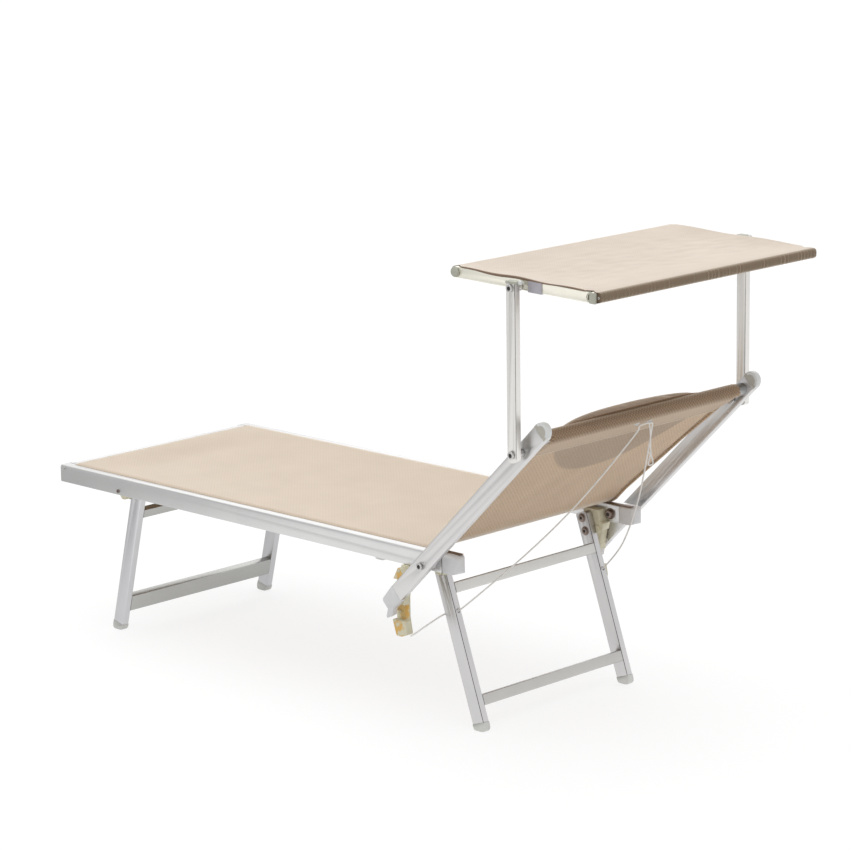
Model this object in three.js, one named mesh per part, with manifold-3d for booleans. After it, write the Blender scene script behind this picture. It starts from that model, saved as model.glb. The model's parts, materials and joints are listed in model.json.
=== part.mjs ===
// Sun lounger with canopy: folding aluminium frame, woven sling, reclining back, tilting canopy.
// Millimetres, +Z up. X runs from the foot end to the head end, and -Y is the side nearer the viewer.
// The origin is on the floor, under the middle of the lounger's length and width.

import * as THREE from 'three';
import { mergeVertices } from 'three/addons/utils/BufferGeometryUtils.js';
import Module from 'manifold-3d';

const wasm = await Module();
wasm.setup();

// Driving sizes

const gap = 0.3; // air between pieces that touch
const overrun = 3; // how far a cutting tool passes the face that it opens
const holeClearance = 0.4; // added to a bolt's radius for the hole round it
const stemClearance = 0.5; // air round a plug's stem inside its tube

const seat = { width: 610, height: 400, length: 1309.5 };
const seatRail = { width: 36.5, height: 41, wall: 1.6, outerRadius: 6, innerRadius: 2, footWall: 3 };
const groove = { inset: 9, depth: 5.5, radius: 3.2, mouth: 2.6 };
const endCap = { length: 34, stem: 16, noseRadius: 9 };
const footRail = { width: 36, wall: 1.6, outerRadius: 8 };

const sling = { thickness: 1.8, edge: 3.5, beadRadius: 2.5, neck: 1.4, sag: 7, fade: 150, foot: 28 };

const leg = { depth: 35, thickness: 18, wall: 1.5, cornerRadius: 3, inset: 60, top: 13, topRadius: 10 };
const legPivotDrop = 32; // below the top of the seat rails
const legSolidTop = 30; // the leg's top end is a solid insert down to here below the pivot
const frontLeg = { fromFoot: 210, slant: 14, bracketReach: 62 };
const rearLeg = { beforeBack: 49.5, slant: -18.8, bracketReach: 50.5 };
const foot = { exposed: 19, stem: 30, headRadius: 12, footRadius: 8 };
const legPin = { radius: 4, headRadius: 7, headLength: 4.2 };
const legStop = { thickness: 12, top: 25, length: 20, inset: 1 };
const bracket = { back: 15, drop: 44, rise: 21, shoulder: 22, shoulderDrop: 6, cornerRadius: 6 };

const frontBars = {
  lower: { top: 286.5, height: 40.5 },
  upper: { top: 57.5, height: 21.6 },
};
const rearBars = {
  lower: { top: 310.8, height: 24.7 },
  upper: { top: 60.3, height: 23.8 },
};
const bar = { depth: 20, wall: 1.4, radius: 3, setback: 0.5 };
const cordHole = { below: 122.5, radius: 5 };

const back = { pivotInset: 25.5, pivotDrop: 22, angle: 44.5, clearance: 25 };
const backRail = { thickness: 15, height: 39, wall: 1.5, radius: 3, low: -104, high: 487 };
const backBolt = { radius: 4, headRadius: 8, headLength: 4, nutRadius: 7.5, nutLength: 6.5 };
const backSpacer = { radius: 26 };
const backCap = { length: 27, stem: 18, roundRadius: 11 };
const backFoot = { end: -151, stem: 20, cornerRadius: 8, finLength: 16, finDrop: 8, finRoot: 12 };
const ratchetPin = { distance: 135, radius: 4, length: 10.2 };

const topTube = { along: 463, radius: 14, wall: 1.6 };
const backSling = { low: 16, bend: 62, height: 25, beforeTube: 68, seamHeight: 4, lowInset: 45, highInset: 27 };
const slingEnd = { beforeBack: 7, beadInset: 5.5 };
const sleeve = { thickness: 1.4, clearance: 0.4, apex: 9 };
const pillow = { low: 275, high: 492, half: 215, centreHeight: 31, crown: 33, back: 24, drawInShare: 0.07 };

const ratchet = { thickness: 19, inset: 4, beforeBack: 83, hingeDrop: 9, pinRadius: 4, floor: 4, toothHeight: 4.6 };
const ratchetRecess = { top: -20, bottom: -112, ledgeX: 5, ledgeZ: -73, slope: 5 };
const tooth = { count: 4, width: 3.2, length: 17, tilt: 24 };
const hanger = { length: 24, inset: 18, drop: 18, corner: 6 };

const arm = { clearance: 16, thickness: 15, width: 25, along: 421.5, low: 17, high: 357.6, wall: 1.5, solid: 18 };
const armBolt = { radius: 4, headRadius: 8, headLength: 4, nutRadius: 9, nutLength: 4, spacerRadius: 9 };
const armPlug = { overhang: 1.5, height: 5, stem: 3 };

const canopyPivotHeight = 348.6; // above the arm's lower bolt
const canopy = { tilt: 1.5, railRise: 4.1, footEnd: 183.65, headEnd: 194.35 };
const canopyRail = { clearance: 14, thickness: 12, height: 25, wall: 1.5, radius: 2 };
const canopyTube = { radius: 13, wall: 1.5 };
const tubePlug = { dome: 5, rim: 1.2, stem: 18 };
const fabric = { thickness: 1.4, clearance: 0.4, inset: 6, sag: 4, wave: 2.4, waves: 5, hem: 11 };
const clamp = { start: 24, length: 37, thickness: 2, lip: 10 };

const releaseCordRadius = 1.75;
const pullCord = { radius: 1.6, knotRadius: 3.8 };

const arcSegments = 3;
const boltSides = 12;
const tubeSides = 16;

// Sizes worked out from the driving ones

const radians = THREE.MathUtils.degToRad;
const railOuter = seat.width / 2;
const railInner = railOuter - seatRail.width;
const railBottom = seat.height - seatRail.height;
const railEnd = seat.length - endCap.length;
const grooveY = railInner + groove.inset;
const grooveZ = seat.height - groove.depth;
const legOuter = railOuter - leg.inset;
const legInner = legOuter - leg.thickness;
const legPivotHeight = seat.height - legPivotDrop;
const backPivot = { x: railEnd - back.pivotInset, z: seat.height - back.pivotDrop };
const frontLegX = frontLeg.fromFoot;
const rearLegX = backPivot.x - rearLeg.beforeBack;
const slingSeam = topTube.along - backSling.beforeTube;
const slingSeatEnd = backPivot.x - slingEnd.beforeBack;
const beadEnd = railEnd - slingEnd.beadInset;
const backInner = railOuter + back.clearance;
const backOuter = backInner + backRail.thickness;
const slingLowHalf = backInner - backSling.lowInset;
const slingHighHalf = backInner - backSling.highInset;
const hinge = { x: backPivot.x - ratchet.beforeBack, z: railBottom - ratchet.hingeDrop };
const ratchetInner = railOuter + ratchet.inset;
const ratchetOuter = ratchetInner + ratchet.thickness;
const armInner = backOuter + arm.clearance;
const armOuter = armInner + arm.thickness;
const canopyRailOuter = armInner - canopyRail.clearance;
const canopyRailInner = canopyRailOuter - canopyRail.thickness;
const fabricHalf = canopyRailOuter - fabric.inset;

// Materials, with the colours that the photograph shows

const finish = (color, roughness, metalness) => new THREE.MeshStandardMaterial({ color, roughness, metalness });
const materials = {
  rail: () => finish(0xc4c6c6, 0.35, 0.9),
  leg: () => finish(0xbcbec0, 0.35, 0.9),
  steel: () => finish(0x8d8f92, 0.3, 1),
  cream: () => finish(0xe1dcbe, 0.5, 0),
  grey: () => finish(0xafafa0, 0.5, 0),
  whitePlastic: () => finish(0xe4e4d7, 0.4, 0),
  clear: () => finish(0xe6eae8, 0.2, 0),
  dark: () => finish(0x4a464e, 0.4, 0.1),
  mesh: () => finish(0xd8c6ae, 0.9, 0),
  cloth: () => finish(0xe2d5c4, 0.95, 0),
  cord: () => finish(0xe8dccb, 0.9, 0),
};

// Solids: closed meshes that can be cut and joined

function facingOut(geometry) {
  const position = geometry.getAttribute('position');
  const index = geometry.getIndex();
  const corner = [new THREE.Vector3(), new THREE.Vector3(), new THREE.Vector3()];
  let volume = 0;
  for (let i = 0; i < index.count; i += corner.length) {
    corner.forEach((point, k) => point.fromBufferAttribute(position, index.getX(i + k)));
    volume += corner[0].dot(corner[1].clone().cross(corner[2]));
  }
  if (volume < 0) {
    for (let i = 0; i < index.count; i += corner.length) {
      const first = index.getX(i);
      index.setX(i, index.getX(i + 1));
      index.setX(i + 1, first);
    }
  }
  return geometry;
}

function welded(geometry) {
  const plain = geometry.clone();
  plain.deleteAttribute('normal');
  plain.deleteAttribute('uv');
  return facingOut(mergeVertices(plain));
}

function toSolid(geometry) {
  const plain = welded(geometry);
  const vertProperties = new Float32Array(plain.getAttribute('position').array);
  const triVerts = new Uint32Array(plain.getIndex().array);
  return new wasm.Manifold(new wasm.Mesh({ numProp: 3, vertProperties, triVerts }));
}

function toGeometry(solid) {
  const { vertProperties, triVerts } = solid.getMesh();
  const geometry = new THREE.BufferGeometry();
  geometry.setAttribute('position', new THREE.BufferAttribute(vertProperties, 3));
  geometry.setIndex(new THREE.BufferAttribute(triVerts, 1));
  return geometry;
}

const cut = (body, ...tools) =>
  toGeometry(tools.reduce((rest, tool) => rest.subtract(toSolid(tool)), toSolid(body)));
const join = (first, ...others) =>
  toGeometry(others.reduce((all, piece) => all.add(toSolid(piece)), toSolid(first)));
const common = (first, ...others) =>
  toGeometry(others.reduce((all, piece) => all.intersect(toSolid(piece)), toSolid(first)));

function reflected(geometry) {
  const twin = welded(geometry);
  twin.scale(1, -1, 1);
  return facingOut(twin);
}

// Outlines and the solids that are swept from them

function outline(corners) {
  const shape = new THREE.Shape();
  const point = (k) => new THREE.Vector2(...corners[(k + corners.length) % corners.length]);
  corners.forEach(([u, v, radius = 0], k) => {
    const here = new THREE.Vector2(u, v);
    const before = point(k - 1).sub(here).normalize();
    const after = point(k + 1).sub(here).normalize();
    const turn = Math.tan(Math.acos(THREE.MathUtils.clamp(before.dot(after), -1, 1)) / 2);
    const trim = radius / turn;
    const start = here.clone().addScaledVector(before, trim);
    const end = here.clone().addScaledVector(after, trim);
    if (k === 0) shape.moveTo(start.x, start.y);
    else shape.lineTo(start.x, start.y);
    if (radius > 0) shape.quadraticCurveTo(u, v, end.x, end.y);
  });
  shape.closePath();
  return shape;
}

function rectangle(lowU, highU, lowV, highV, radius = 0) {
  return outline([
    [lowU, lowV, radius],
    [highU, lowV, radius],
    [highU, highV, radius],
    [lowU, highV, radius],
  ]);
}

function circle(u, v, radius) {
  const shape = new THREE.Shape();
  shape.absarc(u, v, radius, 0, 2 * Math.PI);
  return shape;
}

const unit = { x: new THREE.Vector3(1, 0, 0), y: new THREE.Vector3(0, 1, 0), z: new THREE.Vector3(0, 0, 1) };
const lengthwise = new THREE.Matrix4().makeBasis(unit.y, unit.z, unit.x);
const crosswise = new THREE.Matrix4().makeBasis(unit.x, unit.z, unit.y.clone().negate());

function extruded(shape, depth, segments) {
  return new THREE.ExtrudeGeometry(shape, { depth, bevelEnabled: false, curveSegments: segments });
}

function prismX(shape, low, high, segments = arcSegments) {
  return extruded(shape, high - low, segments).applyMatrix4(lengthwise).translate(low, 0, 0);
}

function prismY(shape, low, high, segments = arcSegments) {
  return extruded(shape, high - low, segments).applyMatrix4(crosswise).translate(0, high, 0);
}

function prismZ(shape, low, high, segments = arcSegments) {
  return extruded(shape, high - low, segments).translate(0, 0, low);
}

const rodY = (radius, low, high, x = 0, z = 0, sides = boltSides) =>
  new THREE.CylinderGeometry(radius, radius, high - low, sides).translate(x, (low + high) / 2, z);

function turned(profile, x = 0, z = 0, sides = boltSides) {
  const points = profile.map(([radius, along]) => new THREE.Vector2(radius, along));
  return new THREE.LatheGeometry(points, sides).translate(x, 0, z);
}

function tubeOutline(lowU, highU, lowV, highV, wall, radius) {
  const shape = rectangle(lowU, highU, lowV, highV, radius);
  shape.holes.push(rectangle(lowU + wall, highU - wall, lowV + wall, highV - wall, Math.max(radius - wall, 0)));
  return shape;
}

// A sheet from a grid of points on its top face, closed by a bottom face and its four edges.
function sheet(us, vs, top, thickness) {
  const rows = us.length;
  const columns = vs.length;
  const points = [];
  const faces = [];
  for (const lower of [0, 1]) {
    for (const u of us) {
      for (const v of vs) points.push(top(u, v).addScaledVector(unit.z, -lower * thickness));
    }
  }
  const at = (lower, i, j) => (lower * rows + i) * columns + j;
  const quad = (a, b, c, d) => faces.push(a, b, c, a, c, d);
  for (let i = 0; i + 1 < rows; i += 1) {
    for (let j = 0; j + 1 < columns; j += 1) {
      quad(at(0, i, j), at(0, i + 1, j), at(0, i + 1, j + 1), at(0, i, j + 1));
      quad(at(1, i, j), at(1, i, j + 1), at(1, i + 1, j + 1), at(1, i + 1, j));
    }
  }
  for (let i = 0; i + 1 < rows; i += 1) {
    quad(at(0, i, 0), at(1, i, 0), at(1, i + 1, 0), at(0, i + 1, 0));
    quad(at(0, i + 1, columns - 1), at(1, i + 1, columns - 1), at(1, i, columns - 1), at(0, i, columns - 1));
  }
  for (let j = 0; j + 1 < columns; j += 1) {
    quad(at(0, 0, j + 1), at(1, 0, j + 1), at(1, 0, j), at(0, 0, j));
    quad(at(0, rows - 1, j), at(1, rows - 1, j), at(1, rows - 1, j + 1), at(0, rows - 1, j + 1));
  }
  const geometry = new THREE.BufferGeometry().setFromPoints(points);
  geometry.setIndex(faces);
  return geometry;
}

function steps(low, high, count) {
  return Array.from({ length: count + 1 }, (_, k) => THREE.MathUtils.lerp(low, high, k / count));
}

function roundCord(points, radius, stepCount) {
  const path = new THREE.CatmullRomCurve3(points.map((point) => new THREE.Vector3(...point)), false, 'centripetal');
  const sides = 8;
  return new THREE.ExtrudeGeometry(circle(0, 0, radius), {
    steps: stepCount,
    extrudePath: path,
    curveSegments: sides / 2,
  });
}

// The scene graph: one group for each body that moves

const model = new THREE.Group();
const groupAt = (parent, x, z, degrees = 0) => {
  const group = new THREE.Group();
  group.position.set(x, 0, z);
  group.rotation.y = radians(degrees);
  parent.add(group);
  return group;
};

function addPart(parent, name, geometry, material) {
  const part = new THREE.Mesh(welded(geometry), material);
  part.name = name;
  parent.add(part);
  return part;
}

function addPair(parent, name, rightGeometry, makeMaterial) {
  addPart(parent, `${name}_left`, reflected(rightGeometry), makeMaterial());
  addPart(parent, `${name}_right`, rightGeometry, makeMaterial());
}

const seatFrame = groupAt(model, 0, 0);
const frontLegs = groupAt(model, frontLegX, legPivotHeight, frontLeg.slant);
const rearLegs = groupAt(model, rearLegX, legPivotHeight, rearLeg.slant);
const backrest = groupAt(model, backPivot.x, backPivot.z, -back.angle);
const armsX = backPivot.x + arm.along * Math.cos(radians(back.angle));
const armsZ = backPivot.z + arm.along * Math.sin(radians(back.angle));
const arms = groupAt(model, armsX, armsZ);
const canopyTop = groupAt(model, armsX, armsZ + canopyPivotHeight, canopy.tilt);

// Seat frame

function makeSeatRail() {
  const body = prismX(
    outline([
      [railInner, railBottom, seatRail.innerRadius],
      [railOuter, railBottom, seatRail.innerRadius],
      [railOuter, seat.height, seatRail.outerRadius],
      [railInner, seat.height, seatRail.innerRadius],
    ]),
    0,
    railEnd,
  );
  const wall = seatRail.wall;
  const boreStep = grooveY + groove.radius + wall;
  const bore = prismX(
    outline([
      [railInner + wall, railBottom + wall],
      [railOuter - wall, railBottom + wall],
      [railOuter - wall, seat.height - wall, seatRail.outerRadius - wall],
      [boreStep, seat.height - wall],
      [boreStep, grooveZ - groove.radius - wall],
      [railInner + wall, grooveZ - groove.radius - wall],
    ]),
    seatRail.footWall,
    railEnd + overrun,
  );
  const grooveTool = join(
    prismX(circle(grooveY, grooveZ, groove.radius), -overrun, railEnd + overrun),
    prismX(
      rectangle(grooveY - groove.mouth / 2, grooveY + groove.mouth / 2, grooveZ, seat.height + overrun),
      -overrun,
      railEnd + overrun,
    ),
  );
  const boltHole = rodY(
    backBolt.radius + holeClearance,
    railInner - overrun,
    railOuter + overrun,
    backPivot.x,
    backPivot.z,
  );
  return cut(body, bore, grooveTool, boltHole);
}

function makeEndCap() {
  const section = outline([
    [railInner, railBottom, seatRail.innerRadius],
    [railOuter, railBottom, seatRail.innerRadius],
    [railOuter, seat.height, seatRail.outerRadius],
    [railInner, seat.height, seatRail.outerRadius],
  ]);
  const start = railEnd + gap;
  const nose = endCap.noseRadius;
  const block = common(
    prismX(section, start, seat.length),
    prismZ(
      outline([
        [start, railInner],
        [seat.length, railInner, nose],
        [seat.length, railOuter, nose],
        [start, railOuter],
      ]),
      railBottom,
      seat.height,
    ),
    prismY(
      outline([
        [start, railBottom],
        [seat.length, railBottom, nose],
        [seat.length, seat.height, nose],
        [start, seat.height],
      ]),
      railInner,
      railOuter,
    ),
  );
  const wall = seatRail.wall + stemClearance;
  const stem = prismX(
    rectangle(railInner + wall, railOuter - wall, railBottom + wall, grooveZ - groove.radius - wall),
    railEnd - endCap.stem,
    start + gap,
  );
  return join(block, stem);
}

function makeFootRail() {
  const shape = outline([
    [0, railBottom, seatRail.innerRadius],
    [footRail.width, railBottom, seatRail.innerRadius],
    [footRail.width, seat.height, seatRail.innerRadius],
    [0, seat.height, footRail.outerRadius],
  ]);
  const wall = footRail.wall;
  shape.holes.push(
    outline([
      [wall, railBottom + wall],
      [footRail.width - wall, railBottom + wall],
      [footRail.width - wall, seat.height - wall],
      [wall, seat.height - wall, footRail.outerRadius - wall],
    ]),
  );
  return prismY(shape, -railInner + gap, railInner - gap);
}

function makeSeatSling() {
  const edge = grooveY + sling.edge;
  const fade = (distance) => THREE.MathUtils.smoothstep(distance, 0, sling.fade);
  const rest = seat.height + gap + sling.thickness;
  const top = (x, y) => {
    const across = Math.max(0, 1 - (y / railInner) ** 2);
    const along = fade(x - footRail.width) * fade(slingSeatEnd - x);
    return new THREE.Vector3(x, y, rest - sling.sag * across * along);
  };
  const endSteps = 4;
  const middleSteps = 4;
  const acrossSteps = 8;
  const xs = [
    sling.foot,
    ...steps(footRail.width, footRail.width + sling.fade, endSteps),
    ...steps(footRail.width + sling.fade, slingSeatEnd - sling.fade, middleSteps).slice(1, -1),
    ...steps(slingSeatEnd - sling.fade, slingSeatEnd, endSteps),
  ];
  const ys = [-edge, ...steps(-railInner, railInner, acrossSteps), edge];
  const cloth = sheet(xs, ys, top, sling.thickness);
  const bead = join(
    prismX(circle(grooveY, grooveZ, sling.beadRadius), sling.foot, beadEnd),
    prismX(
      rectangle(grooveY - sling.neck / 2, grooveY + sling.neck / 2, grooveZ, rest - gap),
      sling.foot,
      slingSeatEnd,
    ),
  );
  return join(cloth, bead, reflected(bead));
}

// A leg bracket lies between leg and rail. It carries the pivot pin, and its stop meets the leg's splay side.
function makeLegBracket(legFrame, pivotX, splay) {
  const { back: behind, drop, rise, shoulder, shoulderDrop, cornerRadius } = bracket;
  const reach = legFrame.bracketReach;
  const flatLow = legOuter + gap;
  const flatHigh = railInner - gap;
  const plate = prismY(
    outline([
      [splay * reach, -drop, cornerRadius],
      [splay * reach, -shoulderDrop, cornerRadius],
      [splay * (reach - shoulder), rise, cornerRadius],
      [-splay * behind, rise, cornerRadius],
      [-splay * behind, -drop, cornerRadius],
    ]),
    flatLow,
    flatHigh,
  );
  const pinEnd = legInner - gap;
  const pin = join(
    rodY(legPin.radius, pinEnd - legPin.headLength, flatHigh),
    rodY(legPin.headRadius, pinEnd - legPin.headLength, pinEnd),
  );
  const face = leg.depth / 2 + gap;
  const near = splay * face;
  const far = splay * (face + legStop.thickness);
  const stop = prismY(
    rectangle(Math.min(near, far), Math.max(near, far), -legStop.top - legStop.length, -legStop.top),
    legInner + legStop.inset,
    flatHigh,
  ).rotateY(radians(legFrame.slant));
  return join(plate, pin, stop).translate(pivotX, 0, legPivotHeight);
}

function makeBackrestBolt() {
  const nutEnd = railInner - gap;
  const headStart = backOuter + gap;
  return turned(
    [
      [0, nutEnd - backBolt.nutLength],
      [backBolt.nutRadius, nutEnd - backBolt.nutLength],
      [backBolt.nutRadius, nutEnd],
      [backBolt.radius, nutEnd],
      [backBolt.radius, headStart],
      [backBolt.headRadius, headStart],
      [backBolt.headRadius, headStart + backBolt.headLength],
      [0, headStart + backBolt.headLength],
    ],
    backPivot.x,
    backPivot.z,
  );
}

function makeBackrestSpacer() {
  const ring = circle(backPivot.x, backPivot.z, backSpacer.radius);
  ring.holes.push(circle(backPivot.x, backPivot.z, backBolt.radius + holeClearance));
  return prismY(ring, railOuter + gap, backInner - gap, tubeSides / 2);
}

// The hanger is a block under the rail with a pin through the ratchet.
function makeRatchetHanger() {
  const block = prismY(
    rectangle(
      hinge.x - hanger.length / 2,
      hinge.x + hanger.length / 2,
      railBottom - gap - hanger.drop,
      railBottom - gap,
      hanger.corner,
    ),
    railOuter - hanger.inset,
    ratchetInner - gap,
  );
  return join(block, rodY(ratchet.pinRadius, railOuter, ratchetOuter, hinge.x, hinge.z));
}

addPair(seatFrame, 'seat_rail', makeSeatRail(), materials.rail);
addPair(seatFrame, 'rail_end_cap', makeEndCap(), materials.rail);
addPart(seatFrame, 'foot_rail', makeFootRail(), materials.rail());
addPart(seatFrame, 'seat_sling', makeSeatSling(), materials.mesh());
addPair(seatFrame, 'front_leg_bracket', makeLegBracket(frontLeg, frontLegX, -1), materials.cream);
addPair(seatFrame, 'rear_leg_bracket', makeLegBracket(rearLeg, rearLegX, 1), materials.cream);
addPair(seatFrame, 'backrest_bolt', makeBackrestBolt(), materials.steel);
addPair(seatFrame, 'backrest_spacer', makeBackrestSpacer(), materials.cream);
addPair(seatFrame, 'ratchet_hanger', makeRatchetHanger(), materials.cream);

// Ratchets: a plate beside the rear leg, with toothed pockets open to the side of the backrest rail.
// The backrest's pin runs just over the teeth.

const ratchetOutlineShares = {
  along: [0.5, 0, 0.04, 0.3, 0.64, 1, 0.85, 0.85, 1],
  down: [0, 0.28, 0.75, 1, 1, 0.96, 0.72, 0.44, 0.2],
};
const ratchetBody = { left: -24, right: 23, top: 10.5, bottom: -147, corner: 5 };

function makeRatchet() {
  const { left, right, top, bottom, corner } = ratchetBody;
  const corners = ratchetOutlineShares.along.map((share, k) => [
    THREE.MathUtils.lerp(left, right, share),
    THREE.MathUtils.lerp(top, bottom, ratchetOutlineShares.down[k]),
    corner,
  ]);
  const plate = prismY(outline(corners), ratchetInner, ratchetOuter);
  const recess = prismY(
    outline([
      [left - overrun, ratchetRecess.top],
      [ratchetRecess.ledgeX, ratchetRecess.top],
      [ratchetRecess.ledgeX, ratchetRecess.ledgeZ],
      [right + overrun, ratchetRecess.ledgeZ - ratchetRecess.slope],
      [right + overrun, ratchetRecess.bottom],
      [left - overrun, ratchetRecess.bottom],
    ]),
    ratchetInner + ratchet.floor,
    ratchetOuter + overrun,
  );
  const pinHole = rodY(ratchet.pinRadius + holeClearance, ratchetInner - overrun, ratchetOuter + overrun);
  const pocketSpan = ratchetRecess.top - ratchetRecess.bottom;
  const teeth = Array.from({ length: tooth.count }, (_, k) => {
    const centre = ratchetRecess.top - (pocketSpan * (k + 1)) / (tooth.count + 1);
    return prismY(
      rectangle(-tooth.length / 2, tooth.length / 2, -tooth.width / 2, tooth.width / 2),
      ratchetInner + gap,
      ratchetInner + ratchet.floor + ratchet.toothHeight,
    )
      .rotateY(radians(tooth.tilt))
      .translate(left / 2, 0, centre);
  });
  return join(cut(plate, recess, pinHole), ...teeth).translate(hinge.x, 0, hinge.z);
}

addPair(model, 'ratchet', makeRatchet(), materials.cream);

// Legs, with the leg's pivot as origin and its length along local Z

const floorBelow = (legFrame, x) =>
  (x * Math.sin(radians(legFrame.slant)) - legPivotHeight) / Math.cos(radians(legFrame.slant));

function makeLeg(legFrame, ...cutters) {
  const half = leg.depth / 2;
  const bottom = floorBelow(legFrame, 0) + foot.exposed;
  const body = prismY(
    outline([
      [-half, bottom],
      [half, bottom],
      [half, leg.top, leg.topRadius],
      [-half, leg.top, leg.topRadius],
    ]),
    legInner,
    legOuter,
  );
  const bore = prismZ(
    rectangle(
      -half + leg.wall,
      half - leg.wall,
      legInner + leg.wall,
      legOuter - leg.wall,
      leg.cornerRadius - leg.wall,
    ),
    bottom - overrun,
    -legSolidTop,
  );
  const section = prismZ(rectangle(-half, half, legInner, legOuter, leg.cornerRadius), bottom, leg.top);
  const pinHole = rodY(legPin.radius + holeClearance, legInner - overrun, legOuter + overrun);
  return cut(common(body, section), bore, pinHole, ...cutters);
}

function makeFoot(legFrame) {
  const half = leg.depth / 2;
  const top = floorBelow(legFrame, 0) + foot.exposed - gap;
  const sole = prismY(
    outline([
      [-half, floorBelow(legFrame, -half), foot.footRadius],
      [half, floorBelow(legFrame, half), foot.headRadius],
      [half, top],
      [-half, top],
    ]),
    legInner,
    legOuter,
  );
  const inset = leg.wall + stemClearance;
  const stem = prismZ(
    rectangle(-half + inset, half - inset, legInner + inset, legOuter - inset),
    top - gap,
    top + foot.stem,
  );
  return join(sole, stem);
}

function makeLegBar(size) {
  const face = leg.depth / 2 - bar.setback;
  const shape = tubeOutline(face - bar.depth, face, -size.top - size.height, -size.top, bar.wall, bar.radius);
  return prismY(shape, -legInner + gap, legInner - gap);
}

function addLegFrame(parent, name, legFrame, bars, ...cutters) {
  addPair(parent, `${name}_leg`, makeLeg(legFrame, ...cutters), materials.leg);
  addPair(parent, `${name}_foot`, makeFoot(legFrame), materials.grey);
  addPart(parent, `${name}_lower_bar`, makeLegBar(bars.lower), materials.leg());
  addPart(parent, `${name}_upper_bar`, makeLegBar(bars.upper), materials.leg());
}

const cordGuide = prismX(
  circle((legInner + legOuter) / 2, -cordHole.below, cordHole.radius),
  -leg.depth / 2 - overrun,
  leg.depth / 2 + overrun,
);
addLegFrame(frontLegs, 'front', frontLeg, frontBars);
addLegFrame(rearLegs, 'rear', rearLeg, rearBars, cordGuide);

// Backrest, with its pivot as origin, its length along local X and its front along local Z

function makeBackRail() {
  const half = backRail.height / 2;
  const tube = prismX(
    tubeOutline(backInner, backOuter, -half, half, backRail.wall, backRail.radius),
    backRail.low,
    backRail.high,
  );
  const low = backInner - overrun;
  const high = backOuter + overrun;
  return cut(
    tube,
    rodY(backBolt.radius + holeClearance, low, high),
    rodY(armBolt.radius + holeClearance, low, high, arm.along),
  );
}

function backStem(low, high) {
  const inset = backRail.wall + stemClearance;
  const half = backRail.height / 2 - inset;
  return prismX(rectangle(backInner + inset, backOuter - inset, -half, half), low, high);
}

function makeBackCap() {
  const half = backRail.height / 2;
  const start = backRail.high + gap;
  const end = start + backCap.length;
  const round = backCap.roundRadius;
  const cap = prismY(
    outline([
      [start, -half],
      [end, -half, round],
      [end, half, round],
      [start, half],
    ]),
    backInner,
    backOuter,
  );
  return join(cap, backStem(start - backCap.stem, start + gap));
}

function makeBackFoot() {
  const half = backRail.height / 2;
  const start = backRail.low - gap;
  const end = backFoot.end;
  const body = prismY(
    outline([
      [start, -half],
      [start, half],
      [end, half - backFoot.cornerRadius / 2, backFoot.cornerRadius],
      [end, -half / 2],
      [end - backFoot.finLength, -half],
      [end - backFoot.finLength, -half - backFoot.finDrop / 2],
      [end, -half - backFoot.finDrop],
      [end + backFoot.finRoot, -half],
    ]),
    backInner,
    backOuter,
  );
  const pin = rodY(ratchetPin.radius, backInner - ratchetPin.length, backOuter - backRail.wall, -ratchetPin.distance);
  return join(body, pin, backStem(start - gap, start + backFoot.stem));
}

function makeTopTube() {
  const ring = circle(topTube.along, 0, topTube.radius);
  ring.holes.push(circle(topTube.along, 0, topTube.radius - topTube.wall));
  return prismY(ring, -backInner + gap, backInner - gap, tubeSides / 2);
}

// Front face of the back sling at a distance along the back. Up to the bend it clears the seat rails when flat.
const slingHeight = (along) =>
  THREE.MathUtils.mapLinear(
    Math.max(along, backSling.bend),
    backSling.bend,
    slingSeam,
    backSling.height,
    backSling.seamHeight,
  );

// A pocket round the top tube: two straight sides from the seam, tangent to a circle.
function pocket(apex, apexHeight, radius) {
  const reach = topTube.along - apex;
  const distance = Math.hypot(reach, apexHeight);
  const lean = Math.atan2(-apexHeight, reach);
  const half = Math.acos(radius / distance);
  const start = Math.PI + lean + half;
  const shape = new THREE.Shape();
  shape.moveTo(apex, apexHeight);
  shape.lineTo(topTube.along + radius * Math.cos(start), radius * Math.sin(start));
  shape.absarc(topTube.along, 0, radius, start, Math.PI + lean - half, false);
  shape.closePath();
  return shape;
}

function makeBackSling() {
  const inner = topTube.radius + sleeve.clearance;
  const seamMiddle = backSling.seamHeight - sling.thickness / 2;
  const shape = pocket(slingSeam, seamMiddle, inner + sleeve.thickness);
  shape.holes.push(pocket(slingSeam + sleeve.apex, seamMiddle, inner));
  const sleeveSolid = prismY(shape, -slingHighHalf, slingHighHalf, tubeSides / 2);
  const lengthSteps = 4;
  const acrossSteps = 4;
  const top = (along, share) => {
    const half = THREE.MathUtils.mapLinear(
      along,
      backSling.low,
      slingSeam,
      slingLowHalf,
      slingHighHalf,
    );
    return new THREE.Vector3(along, share * half, slingHeight(along));
  };
  const panelEnd = slingSeam + sleeve.apex / 2;
  const stations = [backSling.low, ...steps(backSling.bend, panelEnd, lengthSteps)];
  const panel = sheet(stations, steps(-1, 1, acrossSteps), top, sling.thickness);
  return join(sleeveSolid, panel);
}

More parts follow.
